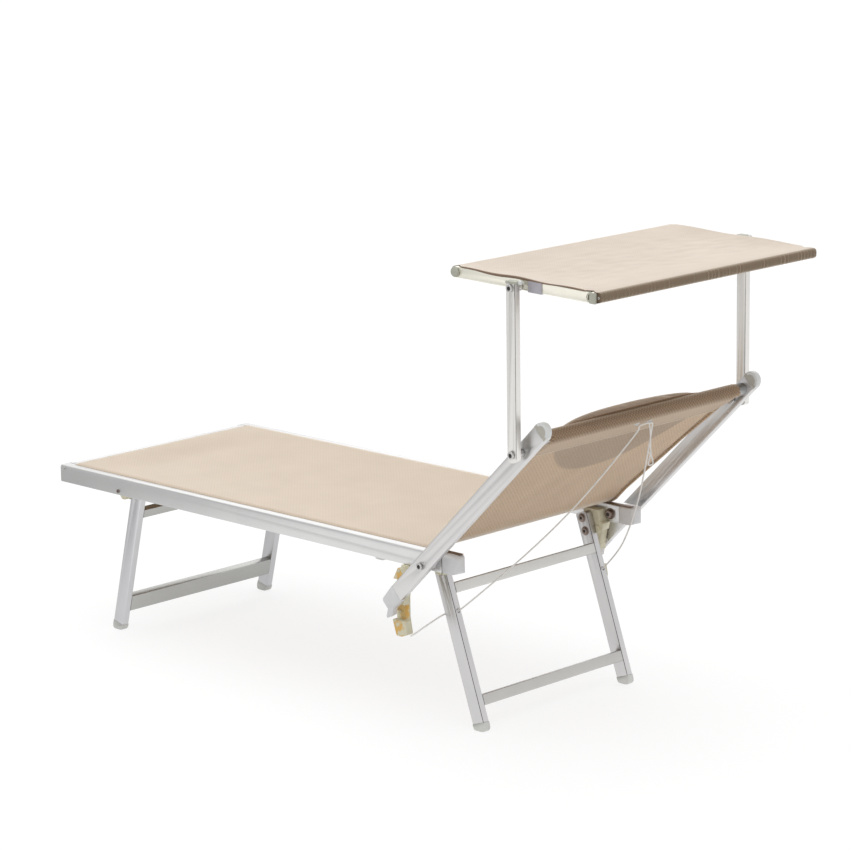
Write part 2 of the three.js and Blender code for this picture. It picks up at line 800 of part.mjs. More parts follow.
// The pillow has a crown on both faces, drawn-in sides and a back that lies on the sling and its sleeve.
function makePillow() {
  const centre = (pillow.low + pillow.high) / 2;
  const halfLength = (pillow.high - pillow.low) / 2;
  const lengthSteps = 12;
  const acrossSteps = 18;
  const crownPower = 2.6;
  const sidePower = 6;
  const fullness = (u, v) => Math.sqrt(Math.max(0, (1 - Math.abs(u) ** crownPower) * (1 - v ** sidePower)));
  const face = (height) => (u, v) => {
    const along = centre + u * halfLength * (1 - pillow.drawInShare * v * v);
    const across = v * pillow.half * (1 - pillow.drawInShare * (1 - u * u));
    return new THREE.Vector3(along, across, pillow.centreHeight + height * fullness(u, v));
  };
  const us = steps(-1, 1, lengthSteps).map((u) => Math.sin((u * Math.PI) / 2));
  const vs = steps(-1, 1, acrossSteps).map((v) => Math.sin((v * Math.PI) / 2));
  const front = face(pillow.crown);
  const rear = face(-pillow.back);
  const points = [];
  const faces = [];
  for (const surface of [front, rear]) us.forEach((u) => vs.forEach((v) => points.push(surface(u, v))));
  const at = (lower, i, j) => (lower * us.length + i) * vs.length + j;
  for (let i = 0; i + 1 < us.length; i += 1) {
    for (let j = 0; j + 1 < vs.length; j += 1) {
      const [a, b, c, d] = [at(0, i, j), at(0, i + 1, j), at(0, i + 1, j + 1), at(0, i, j + 1)];
      faces.push(a, b, c, a, c, d);
      const [e, f, g, h] = [at(1, i, j), at(1, i, j + 1), at(1, i + 1, j + 1), at(1, i + 1, j)];
      faces.push(e, f, g, e, g, h);
    }
  }
  const body = new THREE.BufferGeometry().setFromPoints(points);
  body.setIndex(faces);
  const clear = topTube.radius + sleeve.clearance + sleeve.thickness + gap;
  const depth = pillow.crown + pillow.back;
  const behind = join(
    prismY(
      outline([
        [pillow.low - overrun, slingHeight(pillow.low - overrun) + gap],
        [slingSeam, backSling.seamHeight + gap],
        [topTube.along, clear],
        [topTube.along, -depth],
        [pillow.low - overrun, -depth],
      ]),
      -pillow.half - overrun,
      pillow.half + overrun,
    ),
    rodY(clear, -pillow.half - overrun, pillow.half + overrun, topTube.along, 0, tubeSides),
  );
  return cut(body, behind);
}

addPair(backrest, 'back_rail', makeBackRail(), materials.rail);
addPair(backrest, 'back_rail_cap', makeBackCap(), materials.clear);
addPair(backrest, 'back_rail_foot', makeBackFoot(), materials.dark);
addPart(backrest, 'top_tube', makeTopTube(), materials.leg());
addPart(backrest, 'back_sling', makeBackSling(), materials.mesh());
addPart(backrest, 'head_pillow', makePillow(), materials.cloth());

// Cords, by points chosen along their route

const releaseRoute = [
  [1191.5, -318.5, 206],
  [1196, -305, 212],
  [1206, -277, 227],
  [1215, -250, 240],
  [1223, -237.5, 246.5],
  [1240, -236, 252],
  [1257, -234.5, 258],
  [1297, -208.5, 305],
  [1364, -165, 385],
  [1430, -122, 464],
  [1496, -79, 543],
  [1554, -41, 613],
  [1580, -27, 668],
  [1587, -20, 681],
  [1588, 0, 682],
  [1587, 20, 681],
  [1580, 27, 668],
  [1554, 41, 613],
  [1496, 79, 543],
  [1430, 122, 464],
  [1364, 165, 385],
  [1297, 208.5, 305],
  [1257, 234.5, 258],
  [1240, 236, 252],
  [1223, 237.5, 246.5],
  [1215, 250, 240],
  [1206, 277, 227],
  [1196, 305, 212],
  [1191.5, 318.5, 206],
];
const pullRoute = [
  [1588, 12, 679.4],
  [1589, 12.5, 668],
  [1590, 13, 655],
  [1590, 13, 640],
  [1590, 13, 628],
  [1590, 13, 617],
  [1590, 10, 606],
  [1590, 6, 596],
  [1590, 6, 592.5],
  [1590, 9, 590],
  [1590, 14, 589.5],
  [1590, 19, 590.5],
  [1590, 21, 594],
  [1590, 18, 603],
  [1590, 14, 615],
];

function makePullCord() {
  const [knotX, knotY, knotZ] = pullRoute[5];
  const stepCount = 44;
  const knotSides = 8;
  const knot = new THREE.SphereGeometry(pullCord.knotRadius, knotSides, knotSides).translate(knotX, knotY, knotZ);
  return join(roundCord(pullRoute, pullCord.radius, stepCount), knot);
}

const releaseSteps = 78;
addPart(model, 'release_cord', roundCord(releaseRoute, releaseCordRadius, releaseSteps), materials.cord());
addPart(model, 'pull_cord', makePullCord(), materials.cord());

// Canopy arms, with the lower bolt as origin

function makeArm() {
  const half = arm.width / 2;
  const body = prismY(
    outline([
      [-half, -arm.low, half - gap],
      [half, -arm.low, half - gap],
      [half, arm.high],
      [-half, arm.high],
    ]),
    armInner,
    armOuter,
  );
  const bore = prismZ(
    rectangle(-half + arm.wall, half - arm.wall, armInner + arm.wall, armOuter - arm.wall),
    arm.solid,
    arm.high + overrun,
  );
  const holes = [0, canopyPivotHeight].map((z) =>
    rodY(armBolt.radius + holeClearance, armInner - overrun, armOuter + overrun, 0, z),
  );
  return cut(body, bore, ...holes);
}

// A bolt through an arm and the rail inboard of it: nut, shank, spacer and head are one turned solid.
function makeArmBolt(innerFace, railOuterFace) {
  const nutEnd = innerFace - gap;
  const spacerLow = railOuterFace + gap;
  const spacerHigh = armInner - gap;
  const headStart = armOuter + gap;
  return turned([
    [0, nutEnd - armBolt.nutLength],
    [armBolt.nutRadius, nutEnd - armBolt.nutLength],
    [armBolt.nutRadius, nutEnd],
    [armBolt.radius, nutEnd],
    [armBolt.radius, spacerLow],
    [armBolt.spacerRadius, spacerLow],
    [armBolt.spacerRadius, spacerHigh],
    [armBolt.radius, spacerHigh],
    [armBolt.radius, headStart],
    [armBolt.headRadius, headStart],
    [armBolt.headRadius, headStart + armBolt.headLength],
    [0, headStart + armBolt.headLength],
  ]);
}

function makeArmPlug() {
  const half = arm.width / 2 + armPlug.overhang;
  const low = arm.high + gap;
  const lid = prismZ(
    rectangle(-half, half, armInner - armPlug.overhang, armOuter + armPlug.overhang, armPlug.overhang * 2),
    low,
    low + armPlug.height,
  );
  const inset = arm.wall + stemClearance;
  const inner = arm.width / 2 - inset;
  const stem = prismZ(rectangle(-inner, inner, armInner + inset, armOuter - inset), low - armPlug.stem, low + gap);
  return join(lid, stem);
}

addPair(arms, 'canopy_arm', makeArm(), materials.rail);
addPair(arms, 'arm_pivot', makeArmBolt(backInner, backOuter), materials.steel);
addPair(arms, 'arm_plug', makeArmPlug(), materials.grey);

// Canopy, with its pivot as origin

function tubeRod(x, radius, low, high) {
  return rodY(radius, low, high, x, canopy.railRise, tubeSides);
}

function makeCanopyRail() {
  const half = canopyRail.height / 2;
  const low = canopy.railRise - half;
  const tube = prismX(
    tubeOutline(canopyRailInner, canopyRailOuter, low, low + canopyRail.height, canopyRail.wall, canopyRail.radius),
    -canopy.footEnd,
    canopy.headEnd,
  );
  const wideLow = canopyRailInner - overrun;
  const wideHigh = canopyRailOuter + overrun;
  const cope = canopyTube.radius + gap;
  return cut(
    tube,
    tubeRod(-canopy.footEnd, cope, wideLow, wideHigh),
    tubeRod(canopy.headEnd, cope, wideLow, wideHigh),
    rodY(armBolt.radius + holeClearance, wideLow, wideHigh),
  );
}

function makeCanopyTube(x) {
  const ring = circle(x, canopy.railRise, canopyTube.radius);
  ring.holes.push(circle(x, canopy.railRise, canopyTube.radius - canopyTube.wall));
  return prismY(ring, -canopyRailOuter, canopyRailOuter, tubeSides / 2);
}

function makeTubePlug(x) {
  const start = canopyRailOuter + gap;
  const stemRadius = canopyTube.radius - canopyTube.wall - stemClearance;
  const domeSteps = 3;
  const dome = steps(0, Math.PI / 2, domeSteps).map((angle) => [
    canopyTube.radius * Math.cos(angle),
    start + tubePlug.rim + tubePlug.dome * Math.sin(angle),
  ]);
  dome[domeSteps][0] = 0;
  return turned(
    [
      [0, start - tubePlug.stem],
      [stemRadius, start - tubePlug.stem],
      [stemRadius, start],
      [canopyTube.radius, start],
      ...dome,
    ],
    x,
    canopy.railRise,
    tubeSides,
  );
}

// The sleeve that the fabric forms round a cross tube, loose towards the head end by a length
function makeFabricSleeve(x, loose) {
  const inner = canopyTube.radius + fabric.clearance;
  const outer = inner + fabric.thickness;
  const loop = (radius) => {
    const shape = new THREE.Shape();
    shape.absarc(x + loose, canopy.railRise, radius, -Math.PI / 2, Math.PI / 2, false);
    shape.absarc(x, canopy.railRise, radius, Math.PI / 2, (3 * Math.PI) / 2, false);
    shape.closePath();
    return shape;
  };
  const shape = loop(outer);
  shape.holes.push(loop(inner));
  const half = canopyRailInner - gap;
  return prismY(shape, -half, half, tubeSides / 4);
}

function makeFabric() {
  const rest = canopy.railRise + canopyTube.radius + fabric.clearance + fabric.thickness;
  const low = -canopy.footEnd;
  const high = canopy.headEnd + fabric.hem;
  const span = canopy.headEnd - low;
  const edgePower = 8;
  const sagPower = 6;
  const top = (x, share) => {
    const along = THREE.MathUtils.clamp((x - low) / span, 0, 1);
    const bow = Math.sin(Math.PI * along);
    const edge = share ** edgePower;
    const wave = fabric.wave * edge * bow * Math.sin(Math.PI * fabric.waves * along) ** 2;
    const sag = fabric.sag * bow * Math.max(0, 1 - share ** sagPower);
    return new THREE.Vector3(x, share * fabricHalf, rest - sag + wave);
  };
  const lengthSteps = 15;
  const acrossSteps = 8;
  const shares = steps(-1, 1, acrossSteps).map((share) => Math.sin((share * Math.PI) / 2));
  const xs = [...steps(low, canopy.headEnd, lengthSteps), high];
  const cloth = sheet(xs, shares, top, fabric.thickness);
  return join(cloth, makeFabricSleeve(low, 0), makeFabricSleeve(canopy.headEnd, fabric.hem));
}

// An angle clip under and outside the canopy rail
function makeClamp() {
  const outer = canopyRailOuter + gap + clamp.thickness;
  const bottom = canopy.railRise - canopyRail.height / 2 - gap - clamp.thickness;
  const shape = outline([
    [outer, bottom],
    [outer, canopy.railRise + canopyRail.height / 2],
    [canopyRailOuter + gap, canopy.railRise + canopyRail.height / 2],
    [canopyRailOuter + gap, bottom + clamp.thickness],
    [outer - clamp.lip, bottom + clamp.thickness],
    [outer - clamp.lip, bottom],
  ]);
  return prismX(shape, clamp.start, clamp.start + clamp.length);
}

addPair(canopyTop, 'canopy_rail', makeCanopyRail(), materials.whitePlastic);
addPart(canopyTop, 'canopy_foot_tube', makeCanopyTube(-canopy.footEnd), materials.whitePlastic());
addPart(canopyTop, 'canopy_head_tube', makeCanopyTube(canopy.headEnd), materials.whitePlastic());
addPair(canopyTop, 'canopy_foot_plug', makeTubePlug(-canopy.footEnd), materials.grey);
addPair(canopyTop, 'canopy_head_plug', makeTubePlug(canopy.headEnd), materials.grey);
addPart(canopyTop, 'canopy_fabric', makeFabric(), materials.cloth());
addPair(canopyTop, 'canopy_pivot', makeArmBolt(canopyRailInner, canopyRailOuter), materials.steel);
addPair(canopyTop, 'canopy_clamp', makeClamp(), materials.dark);

// The origin goes under the middle of the whole length, between the foot end and the canopy's hem

const hemReach = canopy.headEnd + fabric.hem + canopyTube.radius + fabric.clearance + fabric.thickness;
const tilt = radians(canopy.tilt);
const tiltedHem = armsX + hemReach * Math.cos(tilt) + canopy.railRise * Math.sin(tilt);
model.position.x = -tiltedHem / 2;

export default model;
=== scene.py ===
import json
import math

import bmesh
import bpy
from mathutils import Matrix, Vector, geometry, noise

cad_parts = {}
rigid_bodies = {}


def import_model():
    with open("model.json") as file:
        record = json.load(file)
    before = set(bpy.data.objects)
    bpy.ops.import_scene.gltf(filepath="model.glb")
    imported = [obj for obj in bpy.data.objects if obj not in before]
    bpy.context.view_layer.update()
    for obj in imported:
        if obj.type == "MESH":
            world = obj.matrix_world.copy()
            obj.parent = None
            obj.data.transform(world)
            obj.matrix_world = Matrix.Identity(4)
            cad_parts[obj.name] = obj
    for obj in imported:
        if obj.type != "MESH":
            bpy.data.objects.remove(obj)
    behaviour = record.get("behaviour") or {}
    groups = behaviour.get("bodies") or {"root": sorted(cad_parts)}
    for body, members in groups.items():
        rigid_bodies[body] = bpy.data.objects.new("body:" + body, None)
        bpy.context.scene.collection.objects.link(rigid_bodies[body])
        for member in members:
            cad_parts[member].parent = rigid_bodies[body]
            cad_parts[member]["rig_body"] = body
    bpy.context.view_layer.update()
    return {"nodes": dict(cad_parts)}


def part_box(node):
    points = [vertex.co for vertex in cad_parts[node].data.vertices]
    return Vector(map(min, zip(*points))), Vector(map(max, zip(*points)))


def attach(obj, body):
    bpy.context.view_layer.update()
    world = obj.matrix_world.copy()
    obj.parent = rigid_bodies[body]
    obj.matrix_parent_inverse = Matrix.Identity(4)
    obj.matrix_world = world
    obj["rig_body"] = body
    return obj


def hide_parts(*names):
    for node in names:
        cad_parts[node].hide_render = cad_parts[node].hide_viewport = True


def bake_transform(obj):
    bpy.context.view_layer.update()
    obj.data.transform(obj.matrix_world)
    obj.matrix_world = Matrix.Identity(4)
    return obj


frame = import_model()
nodes = frame["nodes"]

# Places. Each body has a frame of its own: millimetres from its pivot, turned as the body is at rest.

MILLI = 0.001
FOOT_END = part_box("foot_rail")[0].x
BACK_ANGLE = 44.5
CANOPY_TILT = 1.5
FRONT_SLANT = 14.0
REAR_SLANT = -18.8
BACK_PIVOT = (1250.0, 378.0)
FRONT_PIVOT = (210, 368)
REAR_PIVOT = (1200.5, 368)
RATCHET_HINGE = (1167, 350)
ARM_LENGTH = 348.6
ARM_ALONG = 421.5
ARM_BOLT = (
    BACK_PIVOT[0] + ARM_ALONG * math.cos(math.radians(BACK_ANGLE)),
    BACK_PIVOT[1] + ARM_ALONG * math.sin(math.radians(BACK_ANGLE)),
)


def body_frame(x, z, degrees=0.0):
    place = Matrix.Translation((FOOT_END + x * MILLI, 0, z * MILLI))
    return place @ Matrix.Rotation(math.radians(degrees), 4, "Y") @ Matrix.Scale(MILLI, 4)


SEAT = body_frame(0, 0)
BACK = body_frame(*BACK_PIVOT, -BACK_ANGLE)
ARMS = body_frame(*ARM_BOLT)
CANOPY = body_frame(ARM_BOLT[0], ARM_BOLT[1] + ARM_LENGTH, CANOPY_TILT)
SIDES = (("left", -1), ("right", 1))

# Materials


def tint(red, green, blue):
    """A colour as it shows on a screen, from 0 to 255, as the linear colour that a shader takes."""
    screen = [value / 255 for value in (red, green, blue)]
    linear = [v / 12.92 if v <= 0.04045 else ((v + 0.055) / 1.055) ** 2.4 for v in screen]
    return (*linear, 1.0)


def shade(colour, factor):
    return (*[min(1.0, value * factor) for value in colour[:3]], 1.0)


def new_material(name):
    material = bpy.data.materials.new(name)
    material.use_nodes = True
    return material, material.node_tree, material.node_tree.nodes["Principled BSDF"]


def node(tree, kind, inputs=None, **settings):
    made = tree.nodes.new("ShaderNode" + kind)
    for key, value in settings.items():
        setattr(made, key, value)
    for key, value in (inputs or {}).items():
        if isinstance(value, bpy.types.NodeSocket):
            tree.links.new(value, made.inputs[key])
        else:
            made.inputs[key].default_value = value
    return made


def maths(tree, operation, first, second=0.0):
    return node(tree, "Math", {0: first, 1: second}, operation=operation).outputs[0]


def grain(tree, coords, scale, detail=3.0, roughness=0.55):
    values = {"Vector": coords, "Scale": scale, "Detail": detail, "Roughness": roughness}
    return node(tree, "TexNoise", values).outputs["Fac"]


def graded(tree, factor, dark, light, low=0.3, high=0.7):
    ramp = node(tree, "ValToRGB", {"Fac": factor})
    stops = ramp.color_ramp.elements
    stops[0].position, stops[0].color = low, dark
    stops[1].position, stops[1].color = high, light
    return ramp.outputs["Color"]


def mixed(tree, factor, first, second, blend="MIX"):
    made = node(tree, "Mix", {0: factor, 6: first, 7: second}, data_type="RGBA", blend_type=blend)
    return made.outputs[2]


def ranged(tree, factor, low, high, start=0.0, end=1.0):
    values = {"Value": factor, "From Min": start, "From Max": end, "To Min": low, "To Max": high}
    return node(tree, "MapRange", values).outputs["Result"]


def bumped(tree, height, strength, distance, normal=None):
    values = {"Height": height, "Strength": strength, "Distance": distance}
    if normal is not None:
        values["Normal"] = normal
    return node(tree, "Bump", values).outputs["Normal"]


def set_surface(tree, surface, linked, fixed):
    for key, value in linked.items():
        tree.links.new(value, surface.inputs[key])
    for key, value in fixed.items():
        surface.inputs[key].default_value = value


def stretched(tree, coords, turn, sizes, axis="Y"):
    """Coordinates in which one unit is the given size in metres, along the axes of a turned body."""
    rotation = [0.0, 0.0, 0.0]
    rotation["XYZ".index(axis)] = math.radians(turn)
    values = {"Vector": coords, "Rotation": rotation, "Scale": sizes}
    return node(tree, "Mapping", values, vector_type="TEXTURE").outputs["Vector"]


def aluminium(name, colour, turn=0.0, along="X", roughness=0.36):
    """Extruded aluminium: fine drawing lines along the bar, faint clouds and a few dull rubs."""
    material, tree, surface = new_material(name)
    coords = node(tree, "TexCoord").outputs["Object"]
    line = 0.0008
    length = 0.6
    rub_times = 9
    cloud_scale = 14.0
    sizes = [length if axis == along else line for axis in "XYZ"]
    lines = grain(tree, stretched(tree, coords, turn, sizes), 1.0, 4.0, 0.7)
    clouds = grain(tree, coords, cloud_scale, 4.0)
    rubs = grain(tree, stretched(tree, coords, turn, [rub_times * size for size in sizes]), 1.0, 6.0, 0.8)
    base = graded(tree, lines, shade(colour, 0.98), shade(colour, 1.015))
    cloudy = graded(tree, clouds, (0.96, 0.96, 0.965, 1), (1, 1, 1, 1))
    tone = mixed(tree, 1.0, base, cloudy, "MULTIPLY")
    dull = maths(tree, "ADD", ranged(tree, lines, -0.015, 0.015), ranged(tree, rubs, 0, 0.015, 0.6, 0.8))
    rough = maths(tree, "ADD", dull, roughness)
    fine = bumped(tree, lines, 0.02, 0.00012)
    linked = {"Base Color": tone, "Roughness": rough, "Normal": bumped(tree, clouds, 0.02, 0.001, fine)}
    set_surface(tree, surface, linked, {"Metallic": 1.0})
    return material


def moulded(name, colour, roughness=0.45, fleck=0.9, coat=0.0, metallic=0.0, **fixed):
    """Moulded plastic or paint: soft clouds of tone, fine orange peel, and dust dulled patches."""
    material, tree, surface = new_material(name)
    coords = node(tree, "TexCoord").outputs["Object"]
    cloud_scale, peel_scale, speck_scale = 38.0, 1400.0, 420.0
    clouds = grain(tree, coords, cloud_scale, 4.0)
    peel = grain(tree, coords, peel_scale, 2.0)
    specks = grain(tree, coords, speck_scale, 5.0, 0.7)
    tone = graded(tree, clouds, shade(colour, fleck), shade(colour, 1.03))
    rough = maths(tree, "ADD", ranged(tree, specks, -0.08, 0.1), roughness)
    fine = bumped(tree, peel, 0.1, 0.00015)
    linked = {"Base Color": tone, "Roughness": rough, "Normal": bumped(tree, clouds, 0.15, 0.0008, fine)}
    set_surface(tree, surface, linked, {"Coat Weight": coat, "Metallic": metallic, **fixed})
    return material


def blotched(name, dark, light):
    """Cream nylon with amber patches painted on as shade, standing in for shaded pockets in its face."""
    material, tree, surface = new_material(name)
    coords = node(tree, "TexCoord").outputs["Object"]
    patch_scale, speck_scale = 58.0, 500.0
    patches = grain(tree, coords, patch_scale, 2.0, 0.4)
    speckle = grain(tree, coords, speck_scale, 3.0)
    tone = graded(tree, patches, dark, light, 0.44, 0.56)
    linked = {
        "Base Color": tone,
        "Roughness": ranged(tree, speckle, 0.35, 0.5),
        "Normal": bumped(tree, patches, 0.3, 0.001),
    }
    set_surface(tree, surface, linked, {})
    return material


def yarn_wave(tree, part, pitch):
    return maths(tree, "SINE", maths(tree, "MULTIPLY", part, math.pi / pitch))


def woven(name, deep, pale, pitch, coords_from, open_share=0.0, turn=0.0, roughness=0.6, contrast=0.16):
    """A basket weave of coated yarns, three to a strand: deep in tone seen straight on, and paler at a
    glancing angle, where a painted sheen stands in for the coating's shine. Painted shade darkens the weave
    where its yarns lie low.
    Where it is open, light comes through between the yarns."""
    material, tree, surface = new_material(name)
    coords = node(tree, "TexCoord").outputs[coords_from]
    if turn:
        coords = stretched(tree, coords, turn, (1, 1, 1))
    parts = node(tree, "SeparateXYZ", {0: coords}).outputs
    strand = 3 * pitch
    side, length = (yarn_wave(tree, parts[axis], strand) for axis in "XY")
    over = maths(tree, "MULTIPLY", side, length)
    on_top = ranged(tree, over, 0, 1, -0.12, 0.12)
    wide, tall = (maths(tree, "ABSOLUTE", yarn_wave(tree, parts[axis], pitch)) for axis in "XY")
    ridge = node(tree, "Mix", {0: on_top, 2: tall, 3: wide}, data_type="FLOAT").outputs[0]
    swell = maths(tree, "POWER", maths(tree, "ABSOLUTE", over), 0.4)
    height = maths(tree, "MULTIPLY", ranged(tree, ridge, 0.45, 1), ranged(tree, swell, 0.6, 1))
    thin, drawn_out = pitch * 1.5, pitch * 40
    slubs, picks = (
        grain(tree, stretched(tree, coords, 0, (*sizes, 1)), 1.0, 4.0, 0.6)
        for sizes in ((thin, drawn_out), (drawn_out, thin))
    )
    clouds = grain(tree, coords, 9.0, 4.0)
    # painted sheen: the colour turns pale, and the weave's shading evens out, as the cloth is seen at a
    # glancing angle
    facing = node(tree, "LayerWeight", {"Blend": 0.5}).outputs["Facing"]
    glancing = ranged(tree, facing, 0, 1, 0.4, 0.84)
    tone = mixed(tree, glancing, deep, pale)
    spread = maths(tree, "SUBTRACT", 1.0, maths(tree, "MULTIPLY", glancing, 0.82))
    warp = ranged(tree, slubs, 1.0, 1 + contrast, 0.3, 0.7)
    weft = ranged(tree, picks, 1 - 1.6 * contrast, 1 - 0.4 * contrast, 0.3, 0.7)
    yarns = node(tree, "Mix", {0: on_top, 2: weft, 3: warp}, data_type="FLOAT").outputs[0]
    # painted shade: the colour is darker in the hollows of the weave, where its yarns lie low
    relief_shade = maths(tree, "MULTIPLY", yarns, ranged(tree, height, 1 - 1.8 * contrast, 1.06, 0.25, 0.85))
    levelled = node(tree, "Mix", {0: spread, 2: 1.0, 3: relief_shade}, data_type="FLOAT").outputs[0]
    shaded = mixed(tree, 1.0, tone, levelled, "MULTIPLY")
    cloudy = graded(tree, clouds, (0.95, 0.945, 0.94, 1), (1, 1, 1, 1))
    linked = {
        "Base Color": mixed(tree, 1.0, shaded, cloudy, "MULTIPLY"),
        "Roughness": maths(tree, "ADD", ranged(tree, slubs, -0.08, 0.08), roughness),
        "Normal": bumped(tree, height, 0.5, pitch * 0.5),
    }
    if open_share:
        edge, blur = math.sin(math.sqrt(open_share) * math.pi / 2), 0.12
        yarn = maths(tree, "MAXIMUM", wide, tall)
        linked["Alpha"] = ranged(tree, yarn, 0, 1, edge - blur, edge + blur)
    fixed = {"Sheen Weight": 0.08, "Sheen Roughness": 0.5, "Specular IOR Level": 0.3}
    set_surface(tree, surface, linked, fixed)
    return material


def braided(name, colour, radius):
    """A round braided cord, from the cord's own map: metres along it and round it."""
    material, tree, surface = new_material(name)
    coords = node(tree, "TexCoord").outputs["UV"]
    parts = node(tree, "SeparateXYZ", {0: coords}).outputs
    turn_rate = math.pi / (radius * 1.6)
    strand_rate = 4 / radius
    run = maths(tree, "MULTIPLY", parts["X"], turn_rate)
    round_cord = maths(tree, "MULTIPLY", parts["Y"], strand_rate)
    first = maths(tree, "SINE", maths(tree, "ADD", run, round_cord))
    second = maths(tree, "SINE", maths(tree, "SUBTRACT", run, round_cord))
    strands = maths(tree, "MULTIPLY", first, second)
    fuzz = grain(tree, coords, 900.0, 3.0)
    # painted shade: the cord's colour is darker in the grooves between its strands
    tone = graded(tree, ranged(tree, strands, 0, 1, -1, 1), shade(colour, 0.92), colour, 0.1, 0.5)
    linked = {
        "Base Color": tone,
        "Roughness": ranged(tree, fuzz, 0.7, 0.95),
        "Normal": bumped(tree, strands, 0.2, radius * 0.4),
    }
    set_surface(tree, surface, linked, {"Sheen Weight": 1.0, "Sheen Roughness": 0.6})
    return material


CREAM = tint(232, 226, 198)
LEG = tint(208, 208, 210)
finishes = {
    "rail": aluminium("drawn_rail", tint(212, 212, 211)),
    "foot_rail": aluminium("drawn_foot_rail", tint(212, 212, 211), 0, "Y"),
    "back_rail": aluminium("drawn_back_rail", tint(208, 207, 206), -BACK_ANGLE),
    "arm": aluminium("drawn_arm", tint(220, 218, 214), 0, "Z"),
    "front_leg": aluminium("drawn_front_leg", LEG, FRONT_SLANT, "Z"),
    "rear_leg": aluminium("drawn_rear_leg", tint(200, 199, 199), REAR_SLANT, "Z"),
    "front_bar": aluminium("drawn_front_bar", tint(184, 184, 181), FRONT_SLANT, "Y"),
    "rear_bar": aluminium("drawn_rear_bar", tint(205, 204, 200), REAR_SLANT, "Y"),
    "low_bar": aluminium("drawn_low_bar", tint(191, 189, 186), REAR_SLANT, "Y"),
    "tube": aluminium("drawn_tube", tint(176, 176, 176), 0, "Y"),
    # painted shade along the corners of tubes; the rail cap's dark joint uses it too
    "corner": aluminium("shadowed_corner", tint(74, 72, 72), 0, "Z", 0.3),
    "bolt": aluminium("turned_bolt", tint(196, 195, 193), 0, "Y", 0.26),
    "screw": aluminium("dull_screw", tint(134, 120, 112), 0, "Y", 0.32),
    "socket": moulded("socket_shadow", tint(46, 42, 40), 0.6, 0.8),
    "end_cap": moulded("cast_end_cap", tint(232, 232, 233), 0.36, 0.96, coat=0.15),
    "cream": moulded("cream_nylon", CREAM, 0.42, 0.93),
    # painted shade for the floor of the ratchet's recess
    "amber": moulded("amber_recess_shade", tint(240, 205, 132), 0.4, 0.75),
    "mottled": blotched("mottled_pocket_shade", tint(236, 190, 104), CREAM),
    "grey": moulded("grey_nylon", tint(190, 190, 176), 0.48, 0.92),
    "foot": moulded("foot_nylon", tint(198, 198, 194), 0.36, 0.95, metallic=0.8),
    "clamp": moulded("clamp_film", tint(186, 182, 190), 0.24, 0.92, coat=0.3),
    "clear": moulded("milky_cap", tint(232, 234, 232), 0.24, 0.97, coat=0.2),
    "cap_disc": moulded("cap_disc", tint(196, 192, 182), 0.35, 0.93, coat=0.1),
    "canopy_rail": moulded("lacquered_rail", tint(242, 239, 225), 0.3, 0.98, coat=0.2, metallic=0.7),
    "sling": woven("sling_weave", tint(180, 152, 122), tint(239, 223, 204), 0.0016, "UV", contrast=0.08),
    # partly painted light: the back's rear faces take a warmer copy of the weave for warm bounce light in
    # their shade; its open weave is real
    "back_sling": woven(
        "warm_shaded_back_weave", tint(199, 164, 127), tint(246, 219, 189), 0.0016, "UV", 0.12, contrast=0.26
    ),
    "canopy": woven("canopy_weave", tint(162, 141, 117), tint(240, 226, 210), 0.0012, "UV", contrast=0.12),
    # partly painted shade: a darker copy of the canopy weave, for the hem's double layer and the shade on
    # its face
    "hem": woven("shaded_hem_weave", tint(138, 119, 97), tint(196, 178, 156), 0.0012, "UV", contrast=0.16),
    # partly painted shade: a darker copy of the weave, for the sleeve's double layer and the shade on its
    # rear face
    "sleeve": woven("shaded_sleeve_weave", tint(168, 140, 112), tint(210, 186, 160), 0.0014, "UV", contrast=0.26),
    # partly painted shade: the pillow's deep tone is darker than the sling's, for the shade the canopy
    # casts on its crest
    "pillow": woven(
        "shaded_pillow_weave", tint(158, 127, 99), tint(214, 190, 162), 0.0013, "Object", turn=-BACK_ANGLE
    ),
    "cord": braided("braided_cord", tint(255, 252, 247), 0.00175),
    "thread": moulded("sewing_thread", tint(246, 234, 216), 0.7, 0.9),
    "brown_thread": moulded("brown_thread", tint(128, 96, 70), 0.7, 0.9),
    # a real brown strip in the seat rail's groove, and painted shade along the canopy cloth's edge
    "keder": moulded("brown_keder_and_edge_shade", tint(134, 110, 90), 0.55, 0.85),
}

# Meshes


def in_scene(name, data):
    made = bpy.data.objects.new(name, data)
    bpy.context.scene.collection.objects.link(made)
    return made


def put(name, bm, finish, body, slot, place=None, replaced=(), smooth=35.0):
    """Makes a piece from a bmesh drawn in its body's millimetres, and sets it on its body."""
    if place is not None:
        bm.transform(place)
    mesh = bpy.data.meshes.new(name)
    bm.to_mesh(mesh)
    bm.free()
    mesh.materials.append(finishes[finish])
    mesh.shade_smooth()
    mesh.set_sharp_from_angle(angle=math.radians(smooth))
    made = in_scene(name, mesh)
    if body:
        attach(made, body)
    if replaced:
        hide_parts(*replaced)
    return made


def paint(made, finish, chosen):
    """Gives another finish to the faces that are chosen by their centre and their normal."""
    made.data.materials.append(finishes[finish])
    for face in made.data.polygons:
        if chosen(face.center, face.normal):
            face.material_index = len(made.data.materials) - 1
    return made


def outward(bm):
    bmesh.ops.recalc_face_normals(bm, faces=bm.faces[:])
    return bm


def sharp_edges(bm, degrees=30.0):
    limit = math.radians(degrees)
    return [edge for edge in bm.edges if edge.is_manifold and edge.calc_face_angle(0.0) > limit]


def bevel(bm, edges, width, segments):
    fixed = {"affect": "EDGES", "profile": 0.5, "material": -1, "clamp_overlap": True}
    bmesh.ops.bevel(bm, geom=edges, offset=width, segments=segments, **fixed)
    return bm


def soften(bm, width, segments=2):
    return bevel(bm, sharp_edges(bm), width, segments)


